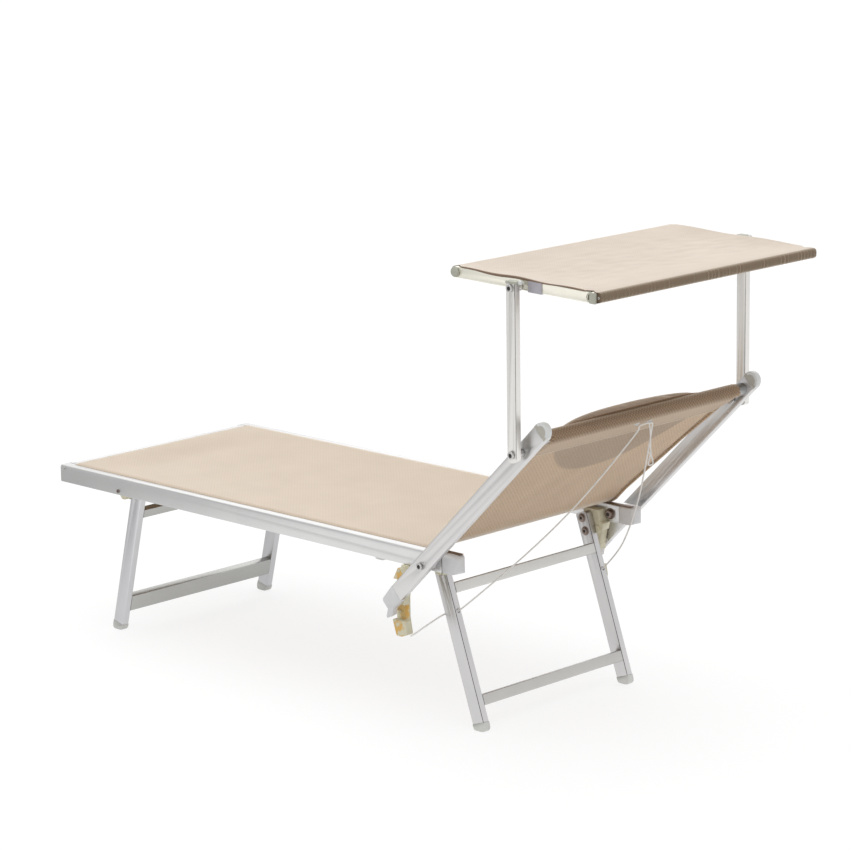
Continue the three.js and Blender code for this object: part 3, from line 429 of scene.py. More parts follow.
def node_copy(name):
    """A merged copy of a CAD node, with its flat faces made whole."""
    bm = bmesh.new()
    bm.from_mesh(nodes[name].data)
    bmesh.ops.remove_doubles(bm, verts=bm.verts[:], dist=1e-6)
    bmesh.ops.dissolve_limit(bm, angle_limit=math.radians(0.5), verts=bm.verts[:], edges=bm.edges[:])
    return bm


def dressed(node_name, finish, slot, width=0.4, corner=0.0):
    """A CAD node with its edges broken, and with round corners along a drawn tube, which get painted shade
    on all but the front legs.
    """
    bm = node_copy(node_name)
    if corner:
        long_edges = [edge for edge in sharp_edges(bm) if edge.calc_length() > 100 * MILLI]
        bevel(bm, long_edges, corner * MILLI, 4)
    soften(bm, width * MILLI)
    body = nodes[node_name]["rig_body"]
    made = put(node_name + "_dressed", bm, finish, body, slot, replaced=(node_name,))
    if corner and finish != "front_leg":
        # painted shade: the long corner strips of the tube get the dark shadowed_corner finish
        paint(made, "corner", lambda _, normal: abs(normal.x) > 0.42 and abs(normal.y) > 0.42)
    return made


def lathe(profile, sides=32):
    """A turned solid round the Y axis, from points of radius and distance along it."""
    bm = bmesh.new()
    points = [bm.verts.new((radius, along, 0)) for radius, along in profile]
    edges = [bm.edges.new(pair) for pair in zip(points, points[1:])]
    round_y = {"cent": (0, 0, 0), "axis": (0, 1, 0), "angle": 2 * math.pi, "use_merge": True}
    bmesh.ops.spin(bm, geom=points + edges, steps=sides, **round_y)
    bmesh.ops.remove_doubles(bm, verts=bm.verts[:], dist=1e-4)
    return outward(bm)


def moved(bm, offset):
    bmesh.ops.translate(bm, verts=bm.verts[:], vec=offset)
    return bm


def turned(bm, degrees, axis):
    bm.transform(Matrix.Rotation(math.radians(degrees), 4, axis))
    return bm


def reflected(bm):
    bmesh.ops.scale(bm, verts=bm.verts[:], vec=(1, -1, 1))
    return outward(bm)


def joined(*parts):
    whole = bmesh.new()
    for part in parts:
        mesh = bpy.data.meshes.new("joining")
        part.to_mesh(mesh)
        part.free()
        whole.from_mesh(mesh)
        bpy.data.meshes.remove(mesh)
    return whole


def stitches(name, spots, body, finish="thread", length=3.4, radius=0.42):
    """A row of stitches: for each spot its centre, its direction and the side that it lies on."""
    bm = bmesh.new()
    for centre, along, up in spots:
        along = along.normalized()
        side = up.cross(along).normalized()
        turn = Matrix((along, side, along.cross(side))).transposed().to_4x4()
        size = Matrix.Diagonal((length * MILLI / 2, radius * MILLI, radius * MILLI, 1))
        bmesh.ops.create_uvsphere(
            bm, u_segments=6, v_segments=4, radius=1, matrix=Matrix.Translation(centre) @ turn @ size
        )
    return put(name, outward(bm), finish, body, "cloth", smooth=80)


def sheet_grid(rows, columns, place, length, width):
    """A cloth from a grid. place gives the middle surface in metres for shares along and across."""
    bm = bmesh.new()
    layer = bm.loops.layers.uv.new("cloth")
    bmesh.ops.create_grid(bm, x_segments=rows, y_segments=columns, size=0.5)
    for face in bm.faces:
        for loop in face.loops:
            loop[layer].uv = ((loop.vert.co.x + 0.5) * length, (loop.vert.co.y + 0.5) * width)
    for vert in bm.verts:
        vert.co = place(vert.co.x + 0.5, vert.co.y + 0.5)
    bmesh.ops.recalc_face_normals(bm, faces=bm.faces[:])
    return bm


def with_thickness(made, thickness):
    """Gives a cloth its thickness, half on each side, and keeps the result as plain mesh."""
    wall = made.modifiers.new("thickness", "SOLIDIFY")
    wall.thickness = thickness
    wall.offset = 0.0
    wall.use_even_offset = True
    return flattened(made)


def flattened(made):
    bpy.context.view_layer.update()
    shown = made.evaluated_get(bpy.context.evaluated_depsgraph_get())
    mesh = bpy.data.meshes.new_from_object(shown)
    old = made.data
    made.modifiers.clear()
    made.data = mesh
    bpy.data.meshes.remove(old)
    return made


def measured_path(points):
    """A path with its distances, and a function that gives the point at a share of its length."""
    distances = [0.0]
    for first, second in zip(points, points[1:]):
        distances.append(distances[-1] + (second - first).length)
    total = distances[-1]

    def at(share):
        wanted = min(max(share, 0.0), 1.0) * total
        for k in range(len(points) - 1):
            if distances[k + 1] >= wanted:
                span = distances[k + 1] - distances[k]
                return points[k].lerp(points[k + 1], (wanted - distances[k]) / span if span else 0.0)
        return points[-1].copy()

    return at, total, distances


def arc(centre, radius, start, end, steps):
    turns = [math.radians(start + (end - start) * k / steps) for k in range(steps + 1)]
    return [Vector((centre[0] + radius * math.cos(t), centre[1] + radius * math.sin(t))) for t in turns]


def smooth_path(points, per_span):
    """A smooth curve through points, as even steps of Bezier spans with Catmull-Rom handles."""
    points = [Vector(point) for point in points]
    path = [points[0]]
    for k in range(len(points) - 1):
        before = points[max(k - 1, 0)]
        after = points[min(k + 2, len(points) - 1)]
        first = points[k] + (points[k + 1] - before) / 6
        second = points[k + 1] - (after - points[k]) / 6
        span = geometry.interpolate_bezier(points[k], first, second, points[k + 1], per_span + 1)
        path.extend(span[1:])
    return path


def rope(path, radius, sides=10, closed_ends=True):
    """A round cord along a path: rings that are bridged, with a map of metres along and round."""
    bm = bmesh.new()
    layer = bm.loops.layers.uv.new("cord")
    rings = []
    normal = (path[1] - path[0]).orthogonal().normalized()
    run = 0.0
    runs = {}
    for k, point in enumerate(path):
        ahead = path[min(k + 1, len(path) - 1)] - path[max(k - 1, 0)]
        tangent = ahead.normalized()
        normal = (normal - tangent * normal.dot(tangent)).normalized()
        turn = Matrix((normal, tangent.cross(normal), tangent)).transposed().to_4x4()
        made = bmesh.ops.create_circle(
            bm, cap_ends=False, segments=sides, radius=radius, matrix=Matrix.Translation(point) @ turn
        )
        if k:
            run += (point - path[k - 1]).length
        rings.append(made["verts"])
        for place, vert in enumerate(made["verts"]):
            runs[vert] = (run, place)
    for first, second in zip(rings, rings[1:]):
        for place in range(sides):
            after = (place + 1) % sides
            face = bm.faces.new((first[place], first[after], second[after], second[place]))
            for loop in face.loops:
                along, spot = runs[loop.vert]
                turns = sides if spot == 0 and after == 0 else spot
                loop[layer].uv = (along, turns * 2 * math.pi * radius / sides)
    if closed_ends:
        for ring in (rings[0], rings[-1]):
            bm.faces.new(ring)
    return outward(bm)


# Camera: the photograph's own view. Its turn is azimuth, elevation and roll in degrees

CAMERA_PLACE = (5.3157, -5.3266, 2.2638)
CAMERA_TURN = (44.704, 12.648, -0.84)
CAMERA_LENS, CAMERA_SENSOR = 143.93, 36.0


def photo_camera():
    azimuth, elevation, roll = (math.radians(value) for value in CAMERA_TURN)
    level = Vector((math.cos(azimuth), math.sin(azimuth), 0))
    outward_level = Vector((math.sin(azimuth), -math.cos(azimuth), 0))
    back = outward_level * math.cos(elevation) + Vector((0, 0, math.sin(elevation)))
    upright = back.cross(level)
    right = level * math.cos(roll) + upright * math.sin(roll)
    up = upright * math.cos(roll) - level * math.sin(roll)
    turn = Matrix((right, up, back)).transposed().to_4x4()
    data = bpy.data.cameras.new("photo_view")
    data.sensor_fit = "HORIZONTAL"
    data.sensor_width = CAMERA_SENSOR
    data.lens = CAMERA_LENS
    made = in_scene("photo_view", data)
    made.matrix_world = Matrix.Translation(CAMERA_PLACE) @ turn
    bpy.context.scene.camera = made


photo_camera()

# Cords

CORD_GUIDE = Vector((1257, 234.5, 258))
CORD_TOP = Vector((1587, 22, 672))
CORD_START = [
    (1191.5, 318.5, 206), (1196, 305, 212), (1206, 277, 227),
    (1215, 250, 240), (1223, 237.5, 246.5), (1240, 236, 252),
]
CORD_CROWN = [(1587, 22, 672), (1588, 20, 680), (1588, 0, 682)]
CORD_SLACK = {"left": (31.0, 1.0), "right": (34.0, 0.68)}
PULL_ROUTE = [
    (1588, 12, 679.4), (1589, 12.5, 668), (1590, 13, 655), (1590, 13, 640), (1590, 13, 628),
    (1590, 13, 617), (1590, 10, 606), (1590, 6, 596), (1590, 6, 592.5), (1590, 9, 590),
    (1590, 14, 589.5), (1590, 19, 590.5), (1590, 21, 594), (1590, 18, 603), (1590, 14, 615),
]
RELEASE_RADIUS = 1.75 * MILLI
PULL_RADIUS = 1.6 * MILLI
KNOT_RADIUS = 3.8 * MILLI
CORD_STEPS = 16
SHORT_STEPS = 6
RISE_POINTS = 6


def in_row(points):
    return [SEAT @ Vector(point) for point in points]


def release_route(side, sign):
    """One half of the cord. It hangs back from the straight line, the right half more so lower down."""
    sag, skew = CORD_SLACK[side]
    route = list(CORD_START)
    for step in range(RISE_POINTS):
        share = step / RISE_POINTS
        slack = Vector((sag * math.sin(math.pi * share**skew), 0, 0))
        route.append(tuple(CORD_GUIDE.lerp(CORD_TOP, share) + slack))
    return [(x, sign * y, z) for x, y, z in route + CORD_CROWN]


def add_release_cord():
    """The cord runs from each ratchet through the rear leg and up to the eyelets at the top of the back.
    Its stretches meet on the seat frame."""
    stretches = {
        "ratchet": (0, 2, "ratchet", "seat_frame"),
        "guide": (2, 5, "seat_frame", "rear_legs"),
        "rise": (5, 7, "rear_legs", "seat_frame"),
        "reach": (7, 12, "seat_frame", "backrest"),
    }
    for side, sign in SIDES:
        route = release_route(side, sign)
        for part, (low, high, first, second) in stretches.items():
            path = smooth_path(in_row(route), CORD_STEPS)[low * CORD_STEPS : high * CORD_STEPS + 1]
            made = put(f"release_cord_{part}_{side}", rope(path, RELEASE_RADIUS), "cord", None, "cord")
            reach_end = path[len(path) // 2] if part == "reach" else path[-1]
            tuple(path[0])
            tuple(reach_end)
            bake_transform(made)
    crown = [(x, -y, z) for x, y, z in CORD_CROWN] + [(x, y, z) for x, y, z in CORD_CROWN[-2::-1]]
    bm = rope(smooth_path(in_row(crown), SHORT_STEPS), RELEASE_RADIUS)
    put("release_cord_crown", bm, "cord", "backrest", "cord", replaced=("release_cord",))


def knot(centre, radius):
    """A tight overhand knot: three fat turns of cord round each other."""
    count = 28
    wide, tall, wavy, thick = (share * radius for share in (0.55, 0.62, 0.2, 0.42))
    path = []
    for k in range(count):
        turn = 3 * math.pi * k / (count - 1)
        height = tall * math.cos(turn) + wavy * math.sin(3 * turn)
        path.append(Vector((wide * math.cos(2 * turn), tall * math.sin(turn), height)) + centre)
    return rope(path, thick, 8)


def add_pull_cord():
    route = in_row(PULL_ROUTE)
    path = smooth_path(route, SHORT_STEPS)
    length = sum((b - a).length for a, b in zip(path, path[1:]))
    bm = rope(path, PULL_RADIUS)
    made = put("pull_cord_drop", bm, "cord", "backrest", "cord", replaced=("pull_cord",))
    tied = put("pull_cord_knot", knot(route[5], KNOT_RADIUS), "cord", "backrest", "cord")
    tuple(route[0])


add_release_cord()
add_pull_cord()

# Sling: one length of woven cloth from the foot rail, over the seat and the hinge, round the top tube

SLING_TOP = 401.2
SLING_THICKNESS = 1.7
SLING_START, SLING_FLAT_END = 28, 1222
SEAT_HALF = 281.0
RAIL_INNER = 268.5
BACK_START, BACK_LOW = 27, 62
BACK_LIFT, SEAM_LIFT = 24.1, 3.3
BACK_LOW_HALF, BACK_HIGH_HALF = 285, 303
SIDE_CURL = 9.0
TUBE_ALONG = 463.0
SEAM = 395.0
PILLOW_HALF = 222.0
PILLOW_LOW, PILLOW_HIGH = 258.0, 472.0
PILLOW_SEAM = 14.5
PILLOW_ROUND, PILLOW_CURVE = 130.0, 2.3


BACK_BEHIND = (BACK.to_3x3() @ Vector((0, 0, -1))).normalized()


def back_point(along, height):
    spot = BACK @ Vector((along, 0, height))
    local = SEAT.inverted() @ spot
    return Vector((local.x, local.z))


def back_line(share):
    """Where the cloth runs on the back: along and height, from its bend (0) to the sleeve's seam (1)."""
    return BACK_LOW + (SEAM - BACK_LOW) * share, BACK_LIFT + (SEAM_LIFT - BACK_LIFT) * share


def sling_side_view():
    """The cloth's middle line in the seat's millimetres, and how far along it its parts begin."""
    flat = SLING_FLAT_END - SLING_START
    line = [Vector((SLING_START + flat * k / 60, SLING_TOP)) for k in range(61)]
    corner = Vector((1239.2, SLING_TOP))
    rise = back_point(BACK_START, BACK_LIFT)
    bend = []
    for k in range(1, 9):
        share = k / 8
        bend.append(line[-1].lerp(corner, share).lerp(corner.lerp(rise, share), share))
    low = BACK_LOW - BACK_START
    back = [back_point(BACK_START + low * k / 3, BACK_LIFT) for k in range(1, 4)]
    back += [back_point(*back_line(k / 26)) for k in range(1, 27)]
    radius = 15.2
    front = arc((TUBE_ALONG, 0), radius, 100.3, -105.5, 16)
    seam = Vector((SEAM, SEAM_LIFT))
    sleeve = [seam.lerp(front[0], k / 4) for k in range(1, 4)]
    tail = Vector((SEAM - 6, 1.2))
    sleeve += front
    sleeve += [front[-1].lerp(tail, k / 5) for k in range(1, 6)]
    up_to_seam = line + bend + back
    return up_to_seam + [back_point(*point) for point in sleeve], len(line), len(up_to_seam)


def sling_places():
    line, seat_count, seam_index = sling_side_view()
    at, total, distances = measured_path(line)
    seat_share = distances[seat_count - 1] / total
    hinge_share = distances[seat_count + 4] / total
    seam_share = distances[seam_index - 1] / total

    def half_width(share):
        if share <= seat_share:
            return SEAT_HALF
        if share <= hinge_share:
            travel = (share - seat_share) / (hinge_share - seat_share)
            return SEAT_HALF + (BACK_LOW_HALF - SEAT_HALF) * travel
        travel = min(1, (share - hinge_share) / (seam_share - hinge_share))
        return BACK_LOW_HALF + (BACK_HIGH_HALF - BACK_LOW_HALF) * travel

    near, lip = 0.002, 1.5
    seat_fold, back_fold, back_lap = 2.2, 1.2, 0.6
    seat_dip, back_belly, edge_rise, ripple = 7, 2.2, 1.2, 0.7
    foot_fade, hinge_fade, past_hinge = 150, 170, 20
    belly_half = 300

    def place(along, across):
        spot = at(along)
        step = (at(min(along + near, 1)) - at(max(along - near, 0))).normalized()
        up = Vector((-step.y, step.x))
        side = 2 * across - 1
        y = side * (half_width(along) + SIDE_CURL)
        sink = 0.0
        over = abs(y) - half_width(along) + lip
        if over > 0:
            seat_edge = along < seat_share
            fold = seat_fold if seat_edge else back_fold
            turn = min(over / fold, math.pi / 2)
            y = math.copysign(half_width(along) - lip + fold * math.sin(turn), side)
            sink = fold * (1 - math.cos(turn))
            rest = max(0.0, over - fold * math.pi / 2)
            if seat_edge:
                sink += rest
            else:
                y -= math.copysign(min(rest, SIDE_CURL), side)
                sink += back_lap
        share = along * total
        seat_length = distances[seat_count - 1]
        left = seat_length + past_hinge - share
        if left > 0:
            fade = min(1, share / foot_fade) * min(1, left / hinge_fade)
            sink += seat_dip * max(0, 1 - (y / RAIL_INNER) ** 2) * fade * fade * (3 - 2 * fade)
        elif along < seam_share:
            middle = (share - seat_length) / (distances[seam_index - 1] - seat_length)
            belly = math.sin(math.pi * middle)
            off_middle = abs(y / belly_half)
            sink += back_belly * belly * (1 - off_middle**2) - edge_rise * belly * off_middle**6
            sink += ripple * noise.noise(Vector((share / 90, y / 60, 3.1))) * belly
        spot = spot - up * sink
        return SEAT @ Vector((spot.x, y, spot.y))

    return place, total, distances, seat_count, seam_index


def paint_pillow_shade(material, seam_run, width):
    """Painted shade: the sling's colour is darker where the pillow lies on its other side, as less light
    comes through there.
    """
    tree = material.node_tree
    base = tree.nodes["Principled BSDF"].inputs["Base Color"]
    open_tone = base.links[0].from_socket
    parts = node(tree, "SeparateXYZ", {0: node(tree, "TexCoord").outputs["UV"]}).outputs
    from_middle = maths(tree, "SUBTRACT", parts["Y"], width / 2)
    dark_half = PILLOW_HALF * 0.955 * MILLI
    across = maths(tree, "ABSOLUTE", maths(tree, "MULTIPLY", from_middle, 1 / dark_half))
    low_edge = maths(tree, "MULTIPLY", maths(tree, "POWER", across, PILLOW_CURVE), PILLOW_ROUND * MILLI)
    start = seam_run - (SEAM - PILLOW_LOW) * MILLI
    inside = maths(tree, "SUBTRACT", maths(tree, "SUBTRACT", parts["X"], start), low_edge)
    covered = maths(
        tree, "MULTIPLY", ranged(tree, inside, 0, 1, -0.005, 0.005), ranged(tree, across, 1, 0, 0.97, 1.02)
    )
    shadowed = mixed(tree, 1.0, open_tone, (0.7, 0.7, 0.71, 1), "MULTIPLY")
    tree.links.new(mixed(tree, covered, open_tone, shadowed), base)


def add_sling():
    place, total, distances, seat_count, seam_index = sling_places()
    rows = 190
    columns = 74
    width = (SEAT_HALF + BACK_HIGH_HALF + 2 * SIDE_CURL) * MILLI
    bm = sheet_grid(rows, columns, place, total * MILLI, width)
    made = put("sling_cloth", bm, "sling", None, "sling", replaced=("seat_sling", "back_sling"), smooth=60)
    with_thickness(made, SLING_THICKNESS * MILLI)
    to_back = BACK.inverted()
    behind = BACK_BEHIND
    hinge_end, sleeve_end, sleeve_top = 30, SEAM - 4, 17.5
    back_facing, sleeve_facing = 0.2, math.sin(math.radians(12))

    def on_back(centre, normal):
        return (to_back @ centre).x > hinge_end and normal.dot(behind) > back_facing

    def on_sleeve(centre, normal):
        spot = to_back @ centre
        turned_back = normal.dot(behind) > sleeve_facing or spot.x > TUBE_ALONG
        return spot.x > sleeve_end and spot.z < sleeve_top and turned_back

    # painted bounce light: the back's rear faces take the warmer back_sling finish
    paint(made, "back_sling", on_back)
    # painted shade, partly a double layer: the sleeve round the top tube takes the darker sleeve finish
    paint(made, "sleeve", on_sleeve)
    paint_pillow_shade(finishes["back_sling"], distances[seam_index - 1] * MILLI, width)
    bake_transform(made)


def add_sling_seams():
    """The seam that closes the sleeve, and brown stitching along both side hems of the back."""
    behind = BACK_BEHIND
    rows = []
    for k in range(148):
        rows.append((BACK @ Vector((SEAM - 2.5, -297 + 4 * k, -0.7)), Vector((0, 1, 0)), behind))
    stitches("sleeve_seam", rows, "backrest", "thread", 4.2, 1.3)
    side_hems = []
    pitch = 5
    flare = BACK_HIGH_HALF - BACK_LOW_HALF
    for side in (-1, 1):
        for k in range(66):
            along = 66 + pitch * k
            share = (along - BACK_LOW) / (SEAM - BACK_LOW)
            y = side * (BACK_LOW_HALF + flare * share - 15)
            belly = 2.2 * math.sin(math.pi * share) * (1 - (y / 300) ** 2)
            surface = back_line(share)[1] - belly - 1.1
            here = BACK @ Vector((along, y, surface))
            ahead = BACK @ Vector((along + pitch, y + side * 0.27, surface - 0.31))
            side_hems.append((here, ahead - here, behind))
    stitches("side_hem_seams", side_hems, "backrest", "brown_thread", 4.2, 0.6)


def add_eyelets():
    """Two rimmed eyelets that the release cord runs through, behind the sleeve."""
    rim = [(2.6, 0), (7.2, 0), (7.4, 0.8), (5.0, 1.6), (4.2, 4.0), (3.4, 4.6), (2.6, 4.0), (2.6, 0)]
    for side, sign in SIDES:
        bm = moved(turned(lathe(rim, 20), -90, "X"), (452, sign * 21, -12.5))
        put(f"cord_eyelet_{side}", bm, "clear", "backrest", "clear_plastic", BACK)


add_sling()
add_sling_seams()
add_eyelets()

# Pillow

PILLOW_CROWN = (
    (0.0, 17), (0.08, 30), (0.2, 42), (0.38, 50), (0.59, 53),
    (0.71, 52), (0.8, 47.5), (0.9, 38.5), (0.96, 29), (1.0, 17),
)


def along_table(table, value):
    for (low, first), (high, second) in zip(table, table[1:]):
        if value <= high:
            return first + (second - first) * max(0.0, (value - low) / (high - low))
    return table[-1][1]


def pillow_place(u, v):
    """Where the pillow's seam lies on the back. Its low end is round, its high end nearly straight."""
    low = PILLOW_LOW + PILLOW_ROUND * abs(v) ** PILLOW_CURVE
    high = PILLOW_HIGH - 14 * abs(v) ** 5
    return low + (high - low) * (u + 1) / 2, v * PILLOW_HALF * (1 - 0.05 * u**4) - 8


def add_pillow():
    """A stuffed pillow, blown up a little as cloth, then pressed on the sling and its sleeve."""
    bm = bmesh.new()
    bmesh.ops.create_cube(bm, size=2)
    bmesh.ops.subdivide_edges(bm, edges=bm.edges[:], cuts=23, use_grid_fill=True)
    edge, rear = 2.5, 10
    for vert in bm.verts:
        u, v, w = vert.co
        along, across = pillow_place(u, v)
        dome = max(0.0, 1 - abs(v) ** 2.1) ** 0.75
        rise = max(0.0, along_table(PILLOW_CROWN, (u + 1) / 2) - 3 - PILLOW_SEAM) * dome
        height = PILLOW_SEAM + (edge + rise if w > 0 else -edge - rear * dome * max(0.0, 1 - u * u))
        vert.co = (along, across, height)
    outward(bm)
    made = put("head_pillow_stuffed", bm, "pillow", None, "cloth", BACK, ("head_pillow",), 60)
    remesh = made.modifiers.new("even", "REMESH")
    remesh.mode = "VOXEL"
    remesh.voxel_size = 4.5 * MILLI
    flattened(made)
    puff_up(made, 4 * MILLI, 4.0)
    settle_pillow(made)
    smooth = made.modifiers.new("smooth", "SUBSURF")
    smooth.levels = smooth.render_levels = 1
    flattened(made)
    made.data.shade_smooth()
    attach(made, "backrest")
    steps = [-1 + k / 12 for k in range(25)]
    edges = [(u, -1) for u in steps] + [(1, v) for v in steps]
    edges += [(-u, 1) for u in steps] + [(-1, -v) for v in steps]
    outline = []
    for u, v in edges:
        along, across = pillow_place(u, v)
        point = BACK @ Vector((along + 1.5 * u, across + 1.5 * v, PILLOW_SEAM + 1))
        if not outline or (point - outline[-1]).length > 2 * MILLI:
            outline.append(point)
    put("pillow_piping", rope(outline, 2.0 * MILLI, 8), "pillow", "backrest", "cloth", smooth=60)
    return made


def puff_up(made, cap, pressure):
    """Blows a closed cloth up from inside, with no gravity, and holds each point near where it was."""
    scene = bpy.context.scene
    start = [vert.co.copy() for vert in made.data.vertices]
    cloth = made.modifiers.new("stuffing", "CLOTH")
    settings = cloth.settings
    settings.use_pressure = True
    settings.uniform_pressure_force = pressure
    settings.effector_weights.gravity = 0.0
    settings.quality = 6
    settings.tension_stiffness = settings.compression_stiffness = 25
    settings.bending_stiffness = 1.2
    for step in range(1, 21):
        scene.frame_set(step)
    flattened(made)
    scene.frame_set(1)
    for vert, rest in zip(made.data.vertices, start):
        shift = vert.co - rest
        if shift.length > cap:
            vert.co = rest + shift * (cap / shift.length)


def settle_pillow(made):
    """Presses the pillow's rear flat where it lies on the sling and on the sleeve round the tube."""
    to_back = BACK.inverted()
    low, seam, clear = BACK_LIFT + 1.6, 5.8, 16.6
    for vert in made.data.vertices:
        spot = to_back @ vert.co
        reach = spot.x - TUBE_ALONG
        if spot.x < SEAM:
            rest = low + (seam - low) * (spot.x - BACK_LOW) / (SEAM - BACK_LOW)
        elif reach < clear:
            rest = seam + (clear - seam) * min(1, (spot.x - SEAM) / (TUBE_ALONG - SEAM - 8))
        else:
            rest = 0
        if spot.z < rest:
            spot.z = rest
            vert.co = BACK @ spot


add_pillow()

# Canopy cloth: one sheet, sewn round the cross tubes at its foot end and its head end

CANOPY_FOOT, CANOPY_HEAD, CANOPY_RISE = -183.65, 194.35, 4.1
CANOPY_WRAP = 12.3
CANOPY_TOP = CANOPY_RISE + CANOPY_WRAP
CANOPY_HALF = 348.4
CANOPY_TUCK = 334.5
CANOPY_THICKNESS = 1.3
FOLD_REACH, FOLD_RADIUS = 18.4, 6


def canopy_side_view():
    """The cloth's middle line in the canopy's millimetres, from its foot hem to its head hem."""
    foot = arc((CANOPY_FOOT, CANOPY_RISE), CANOPY_WRAP, 292, 90, 16)
    fold_x = CANOPY_HEAD + FOLD_REACH
    fold = arc((fold_x, CANOPY_TOP - 6.5), FOLD_RADIUS, 84, 0, 7)
    fold += arc((fold_x, CANOPY_RISE - 2), FOLD_RADIUS, 0, -76, 7)
    hem_height = CANOPY_TOP - 2.2
    start = Vector((CANOPY_FOOT + 34, hem_height))
    end = Vector((CANOPY_HEAD - 30, hem_height))
    lead = [start.lerp(foot[0], k / 5) for k in range(5)]
    over_tube = Vector((CANOPY_HEAD + 4, CANOPY_TOP))
    spans = 44
    flat = [foot[-1].lerp(over_tube, k / spans) for k in range(1, spans + 1)]
    below = Vector((CANOPY_HEAD + 1, CANOPY_RISE - CANOPY_WRAP))
    under = [fold[-1].lerp(below, k / 4) for k in range(1, 5)]
    round_tube = arc((CANOPY_HEAD, CANOPY_RISE), CANOPY_WRAP, -100, -175, 6)
    back = [round_tube[-1].lerp(end, k / 5) for k in range(1, 6)]
    return lead + foot + flat + fold + under + round_tube + back


def canopy_place():
    at, total, _ = measured_path(canopy_side_view())
    span = CANOPY_HEAD - CANOPY_FOOT
    dip, crease, ripple = 4, 1.3, 0.6
    pucker_from, pucker_fade = 8, 8

    def place(along, across):
        spot = at(along)
        side = 2 * across - 1
        over = spot.y > CANOPY_TOP - 1.2
        travel = min(max((spot.x - CANOPY_FOOT) / span, 0), 1)
        bow = math.sin(math.pi * travel)
        beyond = max(spot.x - CANOPY_HEAD, CANOPY_FOOT - spot.x)
        inner = CANOPY_TUCK + 11 * min(1, max(0, beyond / 2))
        half = inner + (CANOPY_HALF - inner) * min(1, bow * 7) if over else inner
        y = side * half
        lift = 0.0
        if over:
            edge = abs(side) ** 10
            lift -= dip * bow * (1 - side**6)
            if side < 0:
                wave = math.sin(math.pi * (5 * travel + 0.15)) * 1.5 + 1.6
            else:
                wave = math.sin(math.pi * (3 * travel + 0.35)) * 1.6 + 1.2
            hem = min(1, max(0, abs(y) - 345.4) / 2.6)
            hang = (3.6 + 1.6 * math.sin(9 * travel + 2 * side)) * hem * hem * min(1, bow * 3)
            lift += edge * bow**0.5 * wave - hang
            creases = noise.noise(Vector((spot.x / 60 + 4 * side, side * 3.5, 1.7)))
            ripples = noise.noise(Vector((spot.x / 22, side * 9, 5.2)))
            lift += (crease * creases + ripple * ripples) * bow * (1 - edge)
        if spot.x > CANOPY_HEAD + pucker_from:
            drift = 3 * noise.noise(Vector((y / 26, 1.1, 0)))
            pucker = 0.55 * math.sin(y / 1.8 + drift) * (0.35 + noise.noise(Vector((y / 20, 7.7, 0))))
            fade = min(1, (spot.x - CANOPY_HEAD - pucker_from) / pucker_fade)
            spot = Vector((spot.x - fade * (0.4 + pucker), spot.y))
        return CANOPY @ Vector((spot.x, y, spot.y + lift))

    return place, total


def canopy_row(place, wanted):
    """The share along the cloth where its top side crosses a line of the canopy."""
    to_canopy = CANOPY.inverted()
    shares = [k / 2000 for k in range(2001)]
    middles = [(share, to_canopy @ place(share, 0.5)) for share in shares]
    upper = [(abs(spot.x - wanted), share) for share, spot in middles if spot.z > CANOPY_RISE + 6]
    return min(upper)[1]


def add_canopy_cloth():
    place, total = canopy_place()
    width = 2 * CANOPY_HALF * MILLI
    rows, columns = 120, 380
    bm = sheet_grid(rows, columns, place, total * MILLI, width)
    made = put("canopy_cloth", bm, "canopy", None, "cloth", replaced=("canopy_fabric",), smooth=60)
    with_thickness(made, CANOPY_THICKNESS * MILLI)
    to_canopy = CANOPY.inverted()
    keder_end, hem_start, edge = CANOPY_HEAD + 3, CANOPY_HEAD + 13, 347.2 * MILLI

    def on_edge(spot, normal):
        return (abs(normal.y) > 0.6 or abs(spot.y) > edge) and (to_canopy @ spot).x < keder_end

    # painted shade, partly a double layer: the cloth past the head tube's fold takes the darker hem finish
    paint(made, "hem", lambda spot, _: (to_canopy @ spot).x > hem_start)
    # painted shade: the cloth's edge faces, short of the head tube, get the dark brown finish that stands
    # in for the shade along the canopy's edge
    paint(made, "keder", on_edge)
    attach(made, "canopy")
    seams = []
    for along in (canopy_row(place, CANOPY_FOOT + 31), canopy_row(place, CANOPY_HEAD - 25)):
        for k in range(166):
            across = 0.012 + 0.976 * k / 165
            spot = place(along, across)
            ahead = place(along, across + 0.004)
            up = (place(along + 0.01, across) - spot).cross(ahead - spot).normalized()
            up = up if up.z > 0 else -up
            seams.append((spot + up * 0.75 * MILLI, ahead - spot, up))
    stitches("canopy_hem_seams", seams, "canopy", "thread", 3.2, 0.4)


add_canopy_cloth()

# Rigid parts from the CAD, with broken edges and their own finishes

DRESSED = {
    "seat_rail": ("rail", "rail", 0.35),
    "ratchet_hanger": ("cream", "cream_plastic", 0.5),
    "ratchet": ("cream", "cream_plastic", 0.5),
    "front_leg": ("front_leg", "leg", 0.3, 3.0),
    "rear_leg": ("rear_leg", "leg", 0.3, 3.4),
    "back_rail": ("back_rail", "rail", 0.3),
    "back_rail_foot": ("end_cap", "dark_plastic", 0.5),
    "canopy_arm": ("arm", "rail", 0.3, 2.8),
    "arm_plug": ("grey", "grey_plastic", 0.5),
    "canopy_rail": ("canopy_rail", "white_metal", 0.3),
    "canopy_clamp": ("clamp", "dark_plastic", 0.3),
    "arm_pivot": ("bolt", "fastener", 0.4),
    "canopy_pivot": ("bolt", "fastener", 0.4),
    "backrest_bolt": ("bolt", "fastener", 0.4),
    "canopy_foot_plug": ("grey", "grey_plastic", 0.3),
}
CANOPY_BARS = {"canopy_rail": (22.4, 1.0), "canopy_clamp": (23.2, 1.0), "canopy_foot_plug": (22.0, 0.86)}


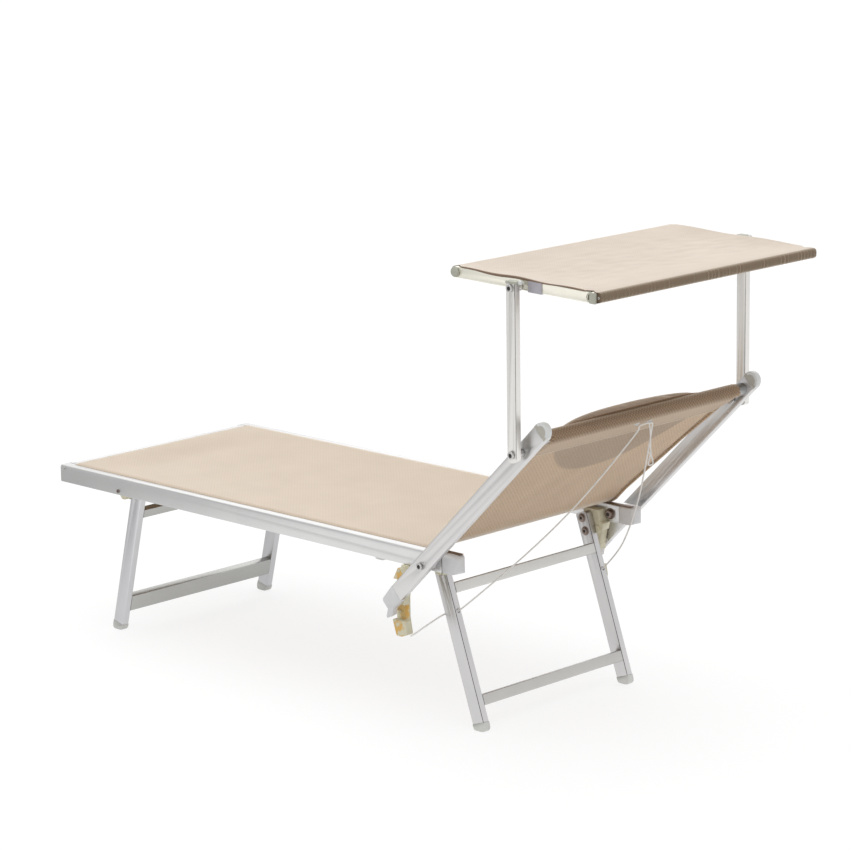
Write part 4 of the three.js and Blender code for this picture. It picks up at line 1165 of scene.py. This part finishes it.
def slimmed(made, height, wide_share):
    """Draws a canopy bar about its own middle with the height, in millimetres, that the photo gives it."""
    to_canopy = CANOPY.inverted()
    spots = [to_canopy @ vert.co for vert in made.data.vertices]
    middle_x = sum(pick(spot.x for spot in spots) for pick in (min, max)) / 2
    low, high = (pick(spot.z for spot in spots) for pick in (min, max))
    middle_z = (low + high) / 2
    share = height / (high - low)
    for vert, spot in zip(made.data.vertices, spots):
        across = middle_x + (spot.x - middle_x) * wide_share
        vert.co = CANOPY @ Vector((across, spot.y, middle_z + (spot.z - middle_z) * share))


for stem, settings in DRESSED.items():
    for side, sign in SIDES:
        made = dressed(f"{stem}_{side}", *settings)
        if stem in CANOPY_BARS:
            slimmed(made, *CANOPY_BARS[stem])
        if stem == "ratchet":
            # painted shade: amber patches on each ratchet's outer face stand in for its shaded pockets
            paint(made, "mottled", lambda _, normal, sign=sign: normal.y * sign > 0.9)


def add_plug(name, finish, slot, outer, grow=0.0):
    """A plug with a well rounded outer end: outer tells which of its points are the outer ones."""
    bm = node_copy(name)
    for vert in bm.verts:
        if outer(vert.co):
            vert.co.x += grow * MILLI
    rim = [edge for edge in sharp_edges(bm) if all(outer(vert.co) for vert in edge.verts)]
    bevel(bm, rim, 5 * MILLI, 4)
    soften(bm, 0.4 * MILLI)
    put(f"{name}_dressed", bm, finish, nodes[name]["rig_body"], slot, replaced=(name,))


for side, _ in SIDES:
    cap = f"rail_end_cap_{side}"
    cap_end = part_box(cap)[1].x - 1 * MILLI
    add_plug(cap, "end_cap", "end_cap", lambda spot: spot.x > cap_end, 6.0)
    for stem in ("front_foot", "rear_foot"):
        foot = f"{stem}_{side}"
        foot_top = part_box(foot)[0].z + 12 * MILLI
        add_plug(foot, "foot", "grey_plastic", lambda spot: spot.z < foot_top)
for stem, finish in (("front", "front_bar"), ("rear", "rear_bar")):
    for level in ("lower", "upper"):
        low = stem == "rear" and level == "lower"
        dressed(f"{stem}_{level}_bar", "low_bar" if low else finish, "leg", 0.3)
dressed("foot_rail", "foot_rail", "rail", 0.3)
dressed("top_tube", "tube", "leg", 0.2)
for tube in ("canopy_foot_tube", "canopy_head_tube"):
    slimmed(dressed(tube, "canopy_rail", "white_metal", 0.2), 23.0, 23 / 26)


def plate(outline, low, high, width, segments=3):
    """A flat part with softened edges, from its outline and the two planes that it lies between."""
    bm = bmesh.new()
    face = bm.faces.new([bm.verts.new((x, low, z)) for x, z in outline])
    raised = bmesh.ops.extrude_face_region(bm, geom=[face])["geom"]
    verts = [part for part in raised if isinstance(part, bmesh.types.BMVert)]
    bmesh.ops.translate(bm, verts=verts, vec=(0, high - low, 0))
    return soften(outward(bm), width, segments)


def rectangle(left, right, bottom, top):
    return [(left, bottom), (right, bottom), (right, top), (left, top)]


def rounded(outline, radius, steps=4):
    """An outline with its corners rounded."""
    points = []
    count = len(outline)
    for k, corner in enumerate(outline):
        corner = Vector(corner)
        before = (Vector(outline[k - 1]) - corner).normalized()
        after = (Vector(outline[(k + 1) % count]) - corner).normalized()
        start, end = corner + before * radius, corner + after * radius
        for j in range(steps + 1):
            share = j / steps
            points.append(start.lerp(corner, share).lerp(corner.lerp(end, share), share))
    return points


def both_sides(stem, make, finish, body, slot, place, replaced=None):
    """Makes a part for the right side, and its mirror image for the left."""
    pieces = []
    for side, sign in SIDES:
        bm = make() if sign > 0 else reflected(make())
        replaces = (f"{replaced}_{side}",) if replaced else ()
        pieces.append(put(f"{stem}_{side}", bm, finish, body.replace("SIDE", side), slot, place, replaces))
    return pieces


BRACKETS = {
    "front": [(-12, 20), (33, 20), (38, 2), (38, -22), (30, -31), (20, -31), (13, -19), (-12, -15)],
    "rear": [(-12, 20), (33, 20), (36, 4), (38, -5), (49, -9), (45, -26), (23, -29), (13, -19), (-12, -15)],
}
BRACKET_PLACES = (("front", FRONT_PIVOT, -1, FRONT_SLANT), ("rear", REAR_PIVOT, 1, -REAR_SLANT))
LEG_PLANE, RAIL_PLANE, BACK_PLANE, ARM_PLANE = 227, 305.2, 349.2, 380.2


def add_brackets():
    """A leg bracket: a smooth cheek between leg and rail, the leg's pin, and a rib that stops the leg."""
    for stem, pivot, sign, slant in BRACKET_PLACES:

        def make():
            cheek = plate([(sign * x, z) for x, z in rounded(BRACKETS[stem], 2.4)], 245.5, 268.2, 1.2)
            stop = plate([(sign * x, z) for x, z in rectangle(17.8, 28, -9, 7)], 242, 247, 1.2)
            turned(moved(stop, (0, 0, -32)), -sign * slant, "Y")
            pin = moved(lathe([(0, 0), (5, 0), (5, 19), (0, 19)], 24), (0, LEG_PLANE, 0))
            return joined(cheek, stop, pin)

        name, replaced, place = f"{stem}_leg_cheek", f"{stem}_leg_bracket", body_frame(*pivot)
        both_sides(name, make, "cream", "seat_frame", "cream_plastic", place, replaced)


def screw(radius, height, socket, sides=28):
    """A screw head that faces along Y: a dished washer, a domed head and a dark socket."""
    floor = max(0.5, height - 1.6)
    return lathe(
        [
            (0, floor),
            (radius * socket, floor),
            (radius * (socket + 0.04), height - 0.2),
            (radius * (socket + 0.16), height),
            (radius * 0.7, height - 0.7),
            (radius * 0.72, 1.3),
            (radius * 0.94, 1.1),
            (radius, 0.6),
            (radius, 0),
            (0, 0),
        ],
        sides,
    )


def add_screw(stem, place, x, y, z, radius, height, body, finish="screw", outwards=True, socket=0.32):
    """A screw on each side of the lounger, with its head out or in."""

    def make():
        head = screw(radius, height, socket)
        return moved(head if outwards else reflected(head), (x, y, z))

    for made, (_, sign) in zip(both_sides(stem, make, finish, body, "fastener", place), SIDES):
        centre = place @ Vector((x, sign * y, z))
        reach = radius * (socket + 0.03) * MILLI
        # painted shade: the hollow socket in each head gets the dark socket_shadow finish
        paint(made, "socket", lambda spot, _: math.hypot(spot.x - centre.x, spot.z - centre.z) < reach)


def add_screws():
    for stem, (x, z), lean in (("rear", REAR_PIVOT, 9.9), ("front", FRONT_PIVOT, -7.2)):
        legs = f"{stem}_legs"
        add_screw(f"{stem}_pivot_screw", SEAT, x, LEG_PLANE, z, 10.5, 4, legs, outwards=False)
        add_screw(f"{stem}_lower_screw", SEAT, x + lean, LEG_PLANE, z - 29, 10.5, 4, legs, outwards=False)
        add_screw(f"{stem}_rail_rivet", SEAT, x, RAIL_PLANE, z, 4.6, 2.6, "seat_frame")
    add_screw("corner_rivet", SEAT, 16, RAIL_PLANE, 393, 3.4, 1.8, "seat_frame", "bolt")
    x, z = BACK_PIVOT
    add_screw("back_bolt_washer", SEAT, x, 268.3, z, 13, 9.6, "backrest", outwards=False)
    for stem, place, *spot, body in (
        ("back", SEAT, x, BACK_PLANE, z, "backrest"),
        ("arm", ARMS, 0, ARM_PLANE, 0, "backrest"),
        ("canopy", ARMS, 0, ARM_PLANE, ARM_LENGTH, "canopy_arms"),
    ):
        add_screw(f"{stem}_bolt_socket", place, *spot, 8.3, 1.4, body, "bolt", socket=0.5)
    add_screw("head_plug_screw", CANOPY, 213.2, 345.3, 6, 2.6, 2.2, "canopy", "bolt")


def add_back_caps():
    """A round milky cap on the top end of each back rail, with a flat disc let into each face."""
    half = [(0, 7.1), (12.4, 7.1), (12.8, 6.5), (13.3, 7.3), (17.2, 7.4), (18.8, 6.6), (19.5, 5.0)]
    profile = half + [(radius, -along) for radius, along in reversed(half)]

    along, plane, tall, thick = 494.8, 337.5, 19.4, 7.4

    def make():
        disc = moved(lathe(profile, 56), (along, plane, 0))
        collar = plate(rectangle(along - 7.4, along + 2.2, -tall, tall), plane - thick, plane + thick, 0.6)
        return joined(disc, collar)

    pieces = both_sides(
        "round_back_cap", make, "clear", "backrest", "clear_plastic", BACK, "back_rail_cap"
    )
    for made, (_, sign) in zip(pieces, SIDES):
        centre = BACK @ Vector((along, sign * plane, 0))

        def on_disc(spot, _):
            return (spot - centre).length < 14.2 * MILLI and abs(spot.y - centre.y) > 6 * MILLI

        paint(made, "cap_disc", on_disc)


RATCHETS = body_frame(*RATCHET_HINGE)
FLAT_PARTS = {
    "keder_end": (
        rectangle(1243.5, 1308, 400.1, 401.3), (270.5, 284.5, 0.5), "keder", "seat_frame", "sling", SEAT
    ),
    "cap_joint": (
        rounded(rectangle(1275, 1276.4, 353.5, 397.5), 0.2, 1),
        (304.9, 305.35, 0.1, 1), "corner", "seat_frame", "rail", SEAT,
    ),
    "rail_rest": (
        rounded([(1064, 360), (1066, 354.2), (1070, 353), (1087, 353), (1091, 354.2), (1093, 360)], 1.2),
        (276, 298, 1.0), "end_cap", "seat_frame", "grey_plastic", SEAT,
    ),
    "head_block": (
        rounded(rectangle(191, 208, -7.2, 15.2), 2),
        (345.8, 350.4, 0.8), "grey", "canopy", "grey_plastic", CANOPY, "canopy_head_plug",
    ),
    "hem_end": (
        rounded(rectangle(203, 217.2, -2.5, 14), 4), (343.4, 345.2, 0.5), "hem", "canopy", "cloth", CANOPY
    ),
    # painted shade: a thin amber sheet on the floor of each ratchet's recess stands in for the recess's
    # shade
    "ratchet_recess_shade": (
        rounded([(-24.5, -71.5), (5, -71.5), (5, -110), (-6, -110), (-24.5, -84)], 3),
        (312.9, 313.9, 0.2, 1), "amber", "SIDE_ratchet", "cream_plastic", RATCHETS,
    ),
}
COLLAR = [(5, 305.6), (10, 305.6), (11.5, 307), (11.5, 328), (10, 329.5), (5, 329.5), (5, 305.6)]
GUIDE_RING = [(2.3, -0.4), (3.0, 1.1), (4.4, 1.3), (5.4, 0.6), (5.6, -0.4), (2.3, -0.4)]
KNOB = [(0, 0), (4.6, 0), (4.8, 3.4), (3.6, 5.6), (0, 6.2)]


def add_small_parts():
    """Spacers on the back's bolts, rings for the cord, knobs on the arms, and small flat parts."""

    def guide():
        ring = turned(turned(lathe(GUIDE_RING, 24), -90, "Z"), -REAR_SLANT, "Y")
        return moved(ring, (1255.2, 234.8, 257.2))

    def knob():
        return moved(turned(lathe(KNOB, 24), -90, "Z"), (17.0, 366.5, 360.5))

    bolts = body_frame(*BACK_PIVOT)
    collar = ("end_cap", "backrest", "cream_plastic", bolts, "backrest_spacer")
    both_sides("backrest_collar", lambda: lathe(COLLAR, 36), *collar)
    both_sides("cord_guide", guide, "end_cap", "rear_legs", "grey_plastic", SEAT)
    both_sides("arm_knob", knob, "clear", "canopy_arms", "clear_plastic", ARMS)
    for stem, (outline, planes, *rest) in FLAT_PARTS.items():
        both_sides(stem, lambda: plate(outline, *planes), *rest)


add_brackets()
add_screws()
add_back_caps()
add_small_parts()

# Studio

FLOOR_HALF = 60


def add_floor():
    """A pale floor that glows for camera rays, and for mirror rays as a painted reflection in the metal,
    brightest where the photo's metal is bright.
    """
    material, tree, surface = new_material("studio_floor")
    path = node(tree, "LightPath")
    plain = node(tree, "BsdfDiffuse", {"Color": (0.8, 0.8, 0.8, 1)})
    seen = node(tree, "BsdfDiffuse", {"Color": (0.25, 0.25, 0.25, 1)})
    spot = node(tree, "SeparateXYZ", {0: node(tree, "TexCoord").outputs["Object"]}).outputs
    # painted reflection: set regions of the floor glow brighter for mirror rays only
    run = maths(tree, "SUBTRACT", spot["X"], maths(tree, "MULTIPLY", spot["Y"], 0.5))
    near_shine = ranged(tree, run, 0.36, 0.94, -1.55, -0.25)
    far_shine = ranged(tree, spot["Y"], 0.94, 0, -3.6, -3.0)
    shine = maths(tree, "MAXIMUM", near_shine, far_shine)
    mirrored = maths(tree, "MULTIPLY", path.outputs["Is Glossy Ray"], shine)
    strength = maths(tree, "ADD", mirrored, maths(tree, "MULTIPLY", path.outputs["Is Camera Ray"], 0.8))
    glow = node(tree, "Emission", {"Strength": strength})
    bright = node(tree, "AddShader", {0: seen.outputs[0], 1: glow.outputs[0]})
    looked_at = maths(tree, "MAXIMUM", path.outputs["Is Camera Ray"], path.outputs["Is Glossy Ray"])
    both = node(tree, "MixShader", {0: looked_at, 1: plain.outputs[0], 2: bright.outputs[0]})
    tree.links.new(both.outputs[0], tree.nodes["Material Output"].inputs["Surface"])
    tree.nodes.remove(surface)
    bm = bmesh.new()
    bmesh.ops.create_grid(bm, x_segments=4, y_segments=4, size=FLOOR_HALF)
    mesh = bpy.data.meshes.new("studio_floor")
    bm.to_mesh(mesh)
    bm.free()
    mesh.materials.append(material)
    in_scene("studio_floor", mesh)


def add_sun(name, towards, strength, spread):
    data = bpy.data.lights.new(name, "SUN")
    data.energy = strength
    data.angle = math.radians(spread)
    lamp = in_scene(name, data)
    lamp.rotation_euler = Vector(towards).to_track_quat("Z", "Y").to_euler()


def light_world(ambient):
    world = bpy.data.worlds.new("studio")
    world.use_nodes = True
    tree = world.node_tree
    path = node(tree, "LightPath")
    direction = node(tree, "TexCoord").outputs["Generated"]
    facing = node(tree, "VectorMath", {0: direction, 1: (0.7, 0.7, 0.1)}, operation="DOT_PRODUCT")
    mirror = ranged(tree, facing.outputs["Value"], 0.66, 1.0, -0.8, 0.7)
    soft = maths(tree, "MULTIPLY", path.outputs["Is Glossy Ray"], maths(tree, "SUBTRACT", mirror, ambient))
    lit = maths(tree, "ADD", soft, ambient)
    seen = maths(tree, "MAXIMUM", path.outputs["Is Camera Ray"], path.outputs["Is Transmission Ray"])
    missing = maths(tree, "SUBTRACT", 1.0, lit)
    strength = maths(tree, "ADD", lit, maths(tree, "MULTIPLY", seen, missing))
    backdrop = tree.nodes["Background"]
    backdrop.inputs["Color"].default_value = (1, 1, 1, 1)
    tree.links.new(strength, backdrop.inputs["Strength"])
    bpy.context.scene.world = world


add_floor()
add_sun("overhead", (0.1, -0.15, 1.0), 1.0, 60)
add_sun("back_light", (-0.55, 0.6, 0.5), 0.5, 60)
light_world(0.55)
bpy.context.scene.view_settings.view_transform = "Standard"
